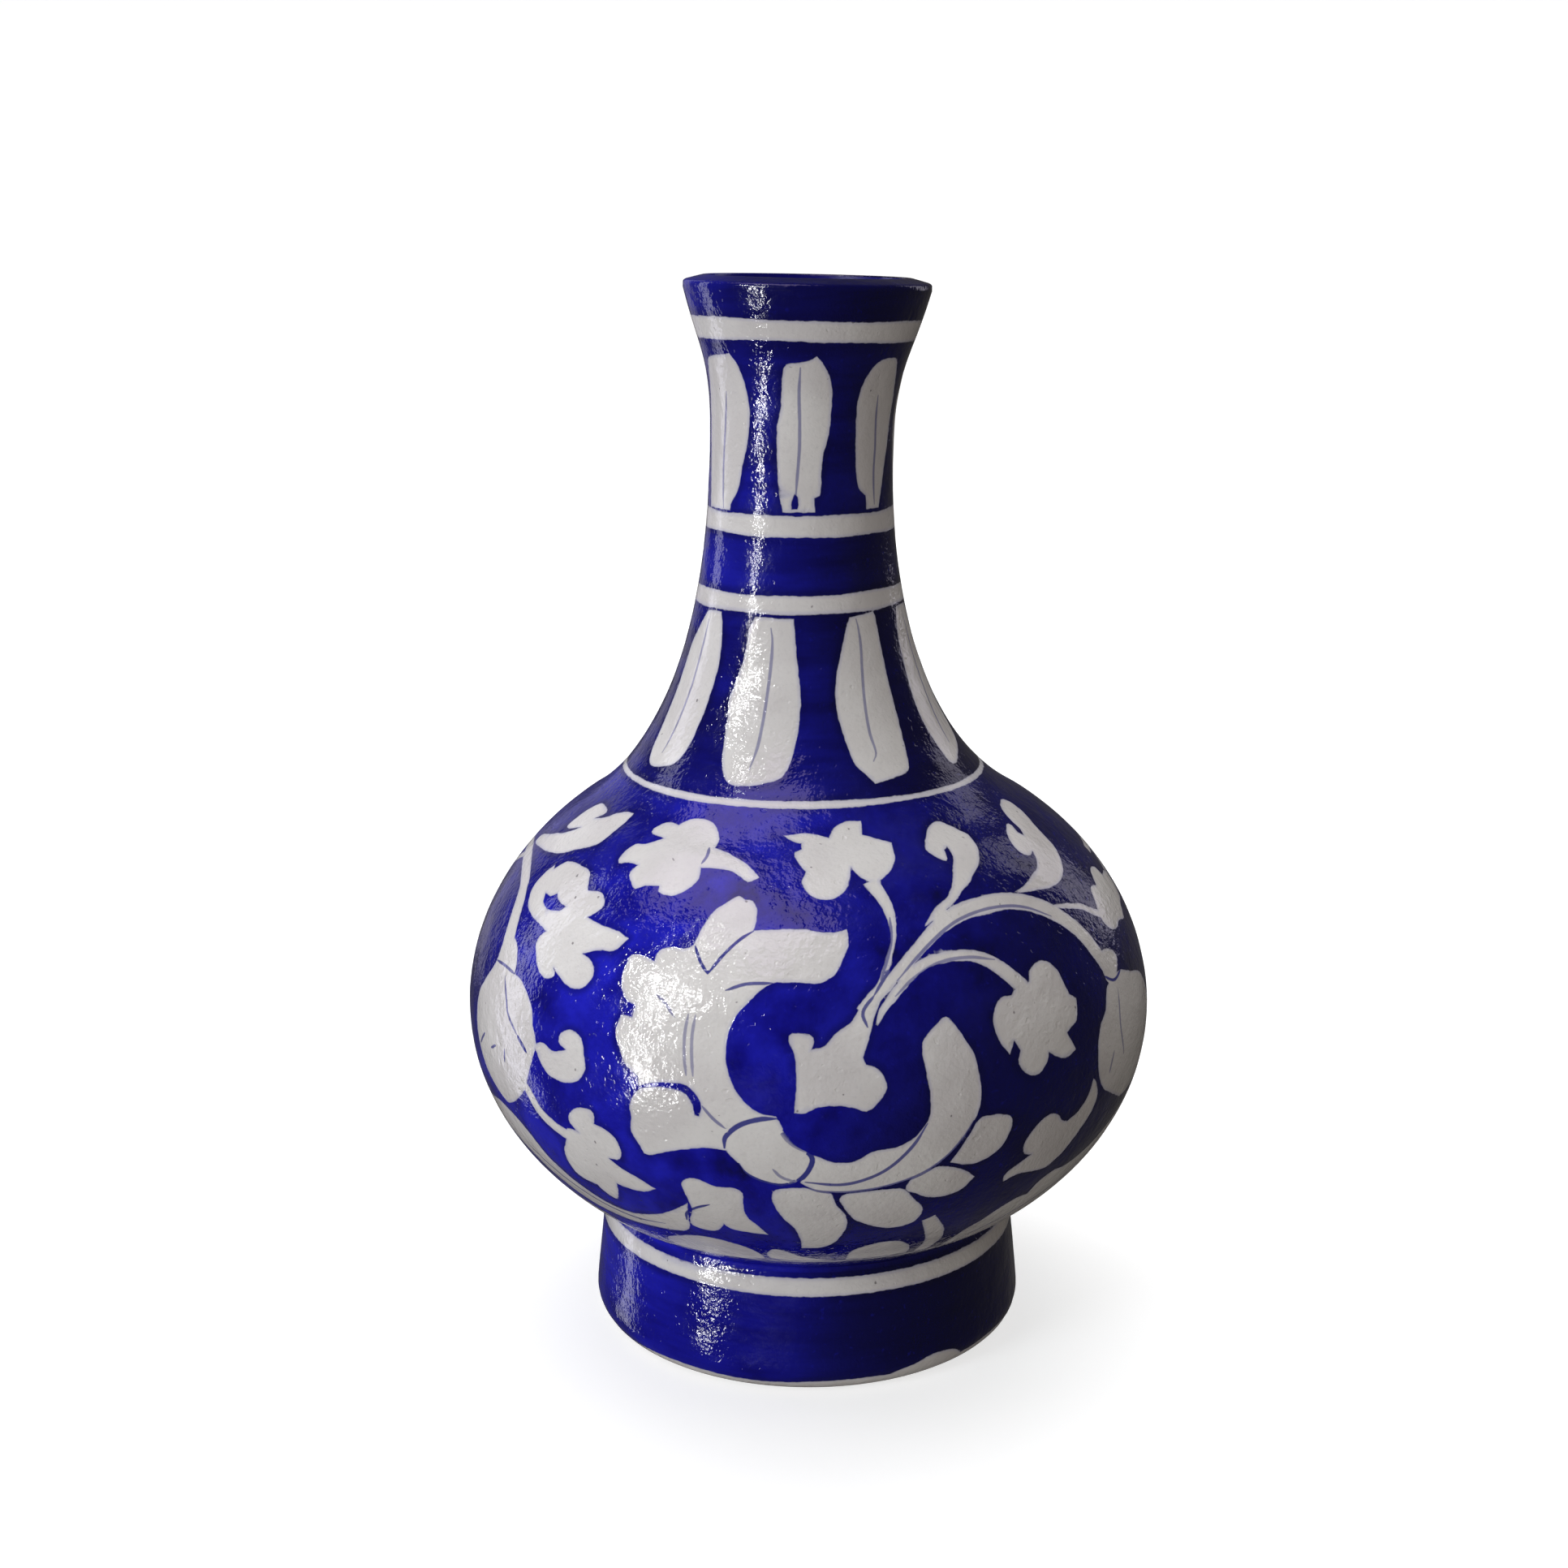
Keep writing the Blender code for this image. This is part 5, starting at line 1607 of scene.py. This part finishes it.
def mirrored_lights():
    """Lights that are seen in the glaze and do nothing else, and the tall side window."""
    strip = around(-50, 0, 0.45)
    glints = [soft_light("window_strip", (*strip[:2], 0.15), (0.0, 0.0, 0.15), 0.006, 0.42, 0.95)]
    for name, azimuth, elevation, distance, width, height, power, colour in PANES:
        place = around(azimuth, elevation, distance)
        glints.append(soft_light(name, place, POT_MIDDLE, width, height, power, colour))
    for glint in glints:
        glint.visible_diffuse = False
    side = around(-112, 0, LIGHT_DISTANCE)
    soft_light("side_window", (*side[:2], 0.2), (0.0, 0.0, 0.2), 0.3, 2.0, 4.6, (0.85, 0.84, 1.0))


def fill_lights():
    """Soft lights that light the pot and the floor and are not seen in the glaze."""
    fills = (
        soft_light("low_fill", around(-26, -12, 1.3), POT_MIDDLE, 0.9, 0.3, 6.0, (1.0, 0.98, 0.95)),
        soft_light("right_wall", around(72, 6, LIGHT_DISTANCE), POT_MIDDLE, 0.8, 0.9, 2.6,
                   (1.0, 0.92, 0.82)),
        soft_light("overhead", (-0.15, 0.35, 1.9), (0.0, 0.35, 0.0), 2.2, 2.2, 30.0),
        soft_light("backdrop_wash", (0.0, 0.5, 1.7), (0.0, 1.6, 0.3), 2.4, 0.6, 24.0),
    )
    for fill in fills:
        fill.visible_glossy = False


def lights():
    """A tall window on the left, the panes and edges that the glaze mirrors, and soft fill."""
    window = soft_light("window", around(-50, 18, LIGHT_DISTANCE), POT_MIDDLE, 0.5, 0.85, 11.3, DAYLIGHT)
    window.visible_glossy = False
    mirrored_lights()
    fill_lights()
    world = bpy.data.worlds.new("studio")
    world.use_nodes = True
    background = world.node_tree.nodes["Background"]
    background.inputs["Color"].default_value = (1.0, 0.93, 0.86, 1.0)
    background.inputs["Strength"].default_value = 0.07
    bpy.context.scene.world = world


LENS, SENSOR = 51.28, 36.0                   # millimetres
EYE = (0.0, -0.4182, 0.2113)
LOOK_DOWN, LOOK_LEFT = 14.02, 0.64           # degrees


def camera():
    """A long lens a little above the mouth, looking down on the pot."""
    data = bpy.data.cameras.new("camera")
    data.lens = LENS
    data.sensor_width = SENSOR
    eye = bpy.data.objects.new("camera", data)
    eye.location = EYE
    eye.rotation_euler = (math.radians(90.0 - LOOK_DOWN), 0.0, math.radians(LOOK_LEFT))
    bpy.context.scene.collection.objects.link(eye)
    bpy.context.scene.camera = eye


# ---------------------------------------------------------------- assembly

ROUND_BRUSH = (1.0, 1.0, 1.0)
BANDED_BRUSH = (0.25, 0.25, 1.6)             # strokes drawn out round the pot
SMOOTH_RELIEF, BELLY_RELIEF = 0.00017, 0.00021
NIGHT = (linear(7, 6, 92), linear(22, 24, 150), linear(3, 2, 36))        # deep, watery and pooled; the pooled colour is also the painted shade's colour
ROYAL = (linear(10, 8, 123), linear(28, 30, 180), linear(4, 4, 42))


def build_pot():
    """Every clay piece, each standing for its CAD node."""
    painted = painted_sheet()
    rule = wall_rule()
    inside = inside_glaze("inside_glaze")
    bare = bare_body("bare_body")
    # the first pair for each glaze is the range across the pot, in metres along +X, over which painted shade
    # darkens the cobalt
    foot_paint = painted_glaze("foot_glaze", BANDED_BRUSH, SMOOTH_RELIEF, (-0.036, 0.034), *ROYAL)
    belly_paint = painted_glaze("belly_glaze", ROUND_BRUSH, BELLY_RELIEF, (-0.018, 0.044), *ROYAL)
    neck_paint = painted_glaze("neck_glaze", BANDED_BRUSH, SMOOTH_RELIEF, (-0.01, 0.022), *NIGHT)
    mouth_paint = painted_glaze("mouth_glaze", BANDED_BRUSH, SMOOTH_RELIEF, (-0.012, 0.02), *NIGHT)
    plan = (
        ("painted_foot", "foot_ring", "foot_glaze", foot_paint, BOTTOM, CREASE, foot_section()),
        ("painted_lower_bowl", "lower_bowl", "belly_glaze", belly_paint, CREASE, EQUATOR,
         lower_bowl_section()),
        ("painted_upper_bowl", "upper_bowl", "belly_glaze", belly_paint, EQUATOR, SHOULDER,
         between_joints(EQUATOR, SHOULDER)),
        ("painted_neck", "neck", "neck_glaze", neck_paint, SHOULDER, COLLAR,
         between_joints(SHOULDER, COLLAR)),
        ("painted_mouth_collar", "mouth_collar", "mouth_glaze", mouth_paint, COLLAR, TOP,
         collar_section()),
    )
    for name, node, slot, paint, start, end, section in plan:
        sheet = piece_sheet(painted, start, end, section)
        piece = wrapped_piece(name, sheet, (paint, inside, bare), rule)
        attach(piece, "root")
        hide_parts(node)
    slip = joint_clay("joint_slip")
    joints = (("belly_bead", "belly_joint_slip", EQUATOR), ("shoulder_bead", "shoulder_joint_slip", SHOULDER),
              ("collar_bead", "collar_joint_slip", COLLAR))
    beads = [(slip_ring(name, joint, (slip,), rule), node) for name, node, joint in joints]
    beads.append((seat_ring("seat_bead", (slip,), rule), "foot_joint_slip"))
    for piece, node in beads:
        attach(piece, "root")
        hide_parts(node)


build_pot()
stand_floor()
lights()
camera()
bpy.context.scene.view_settings.view_transform = "Standard"
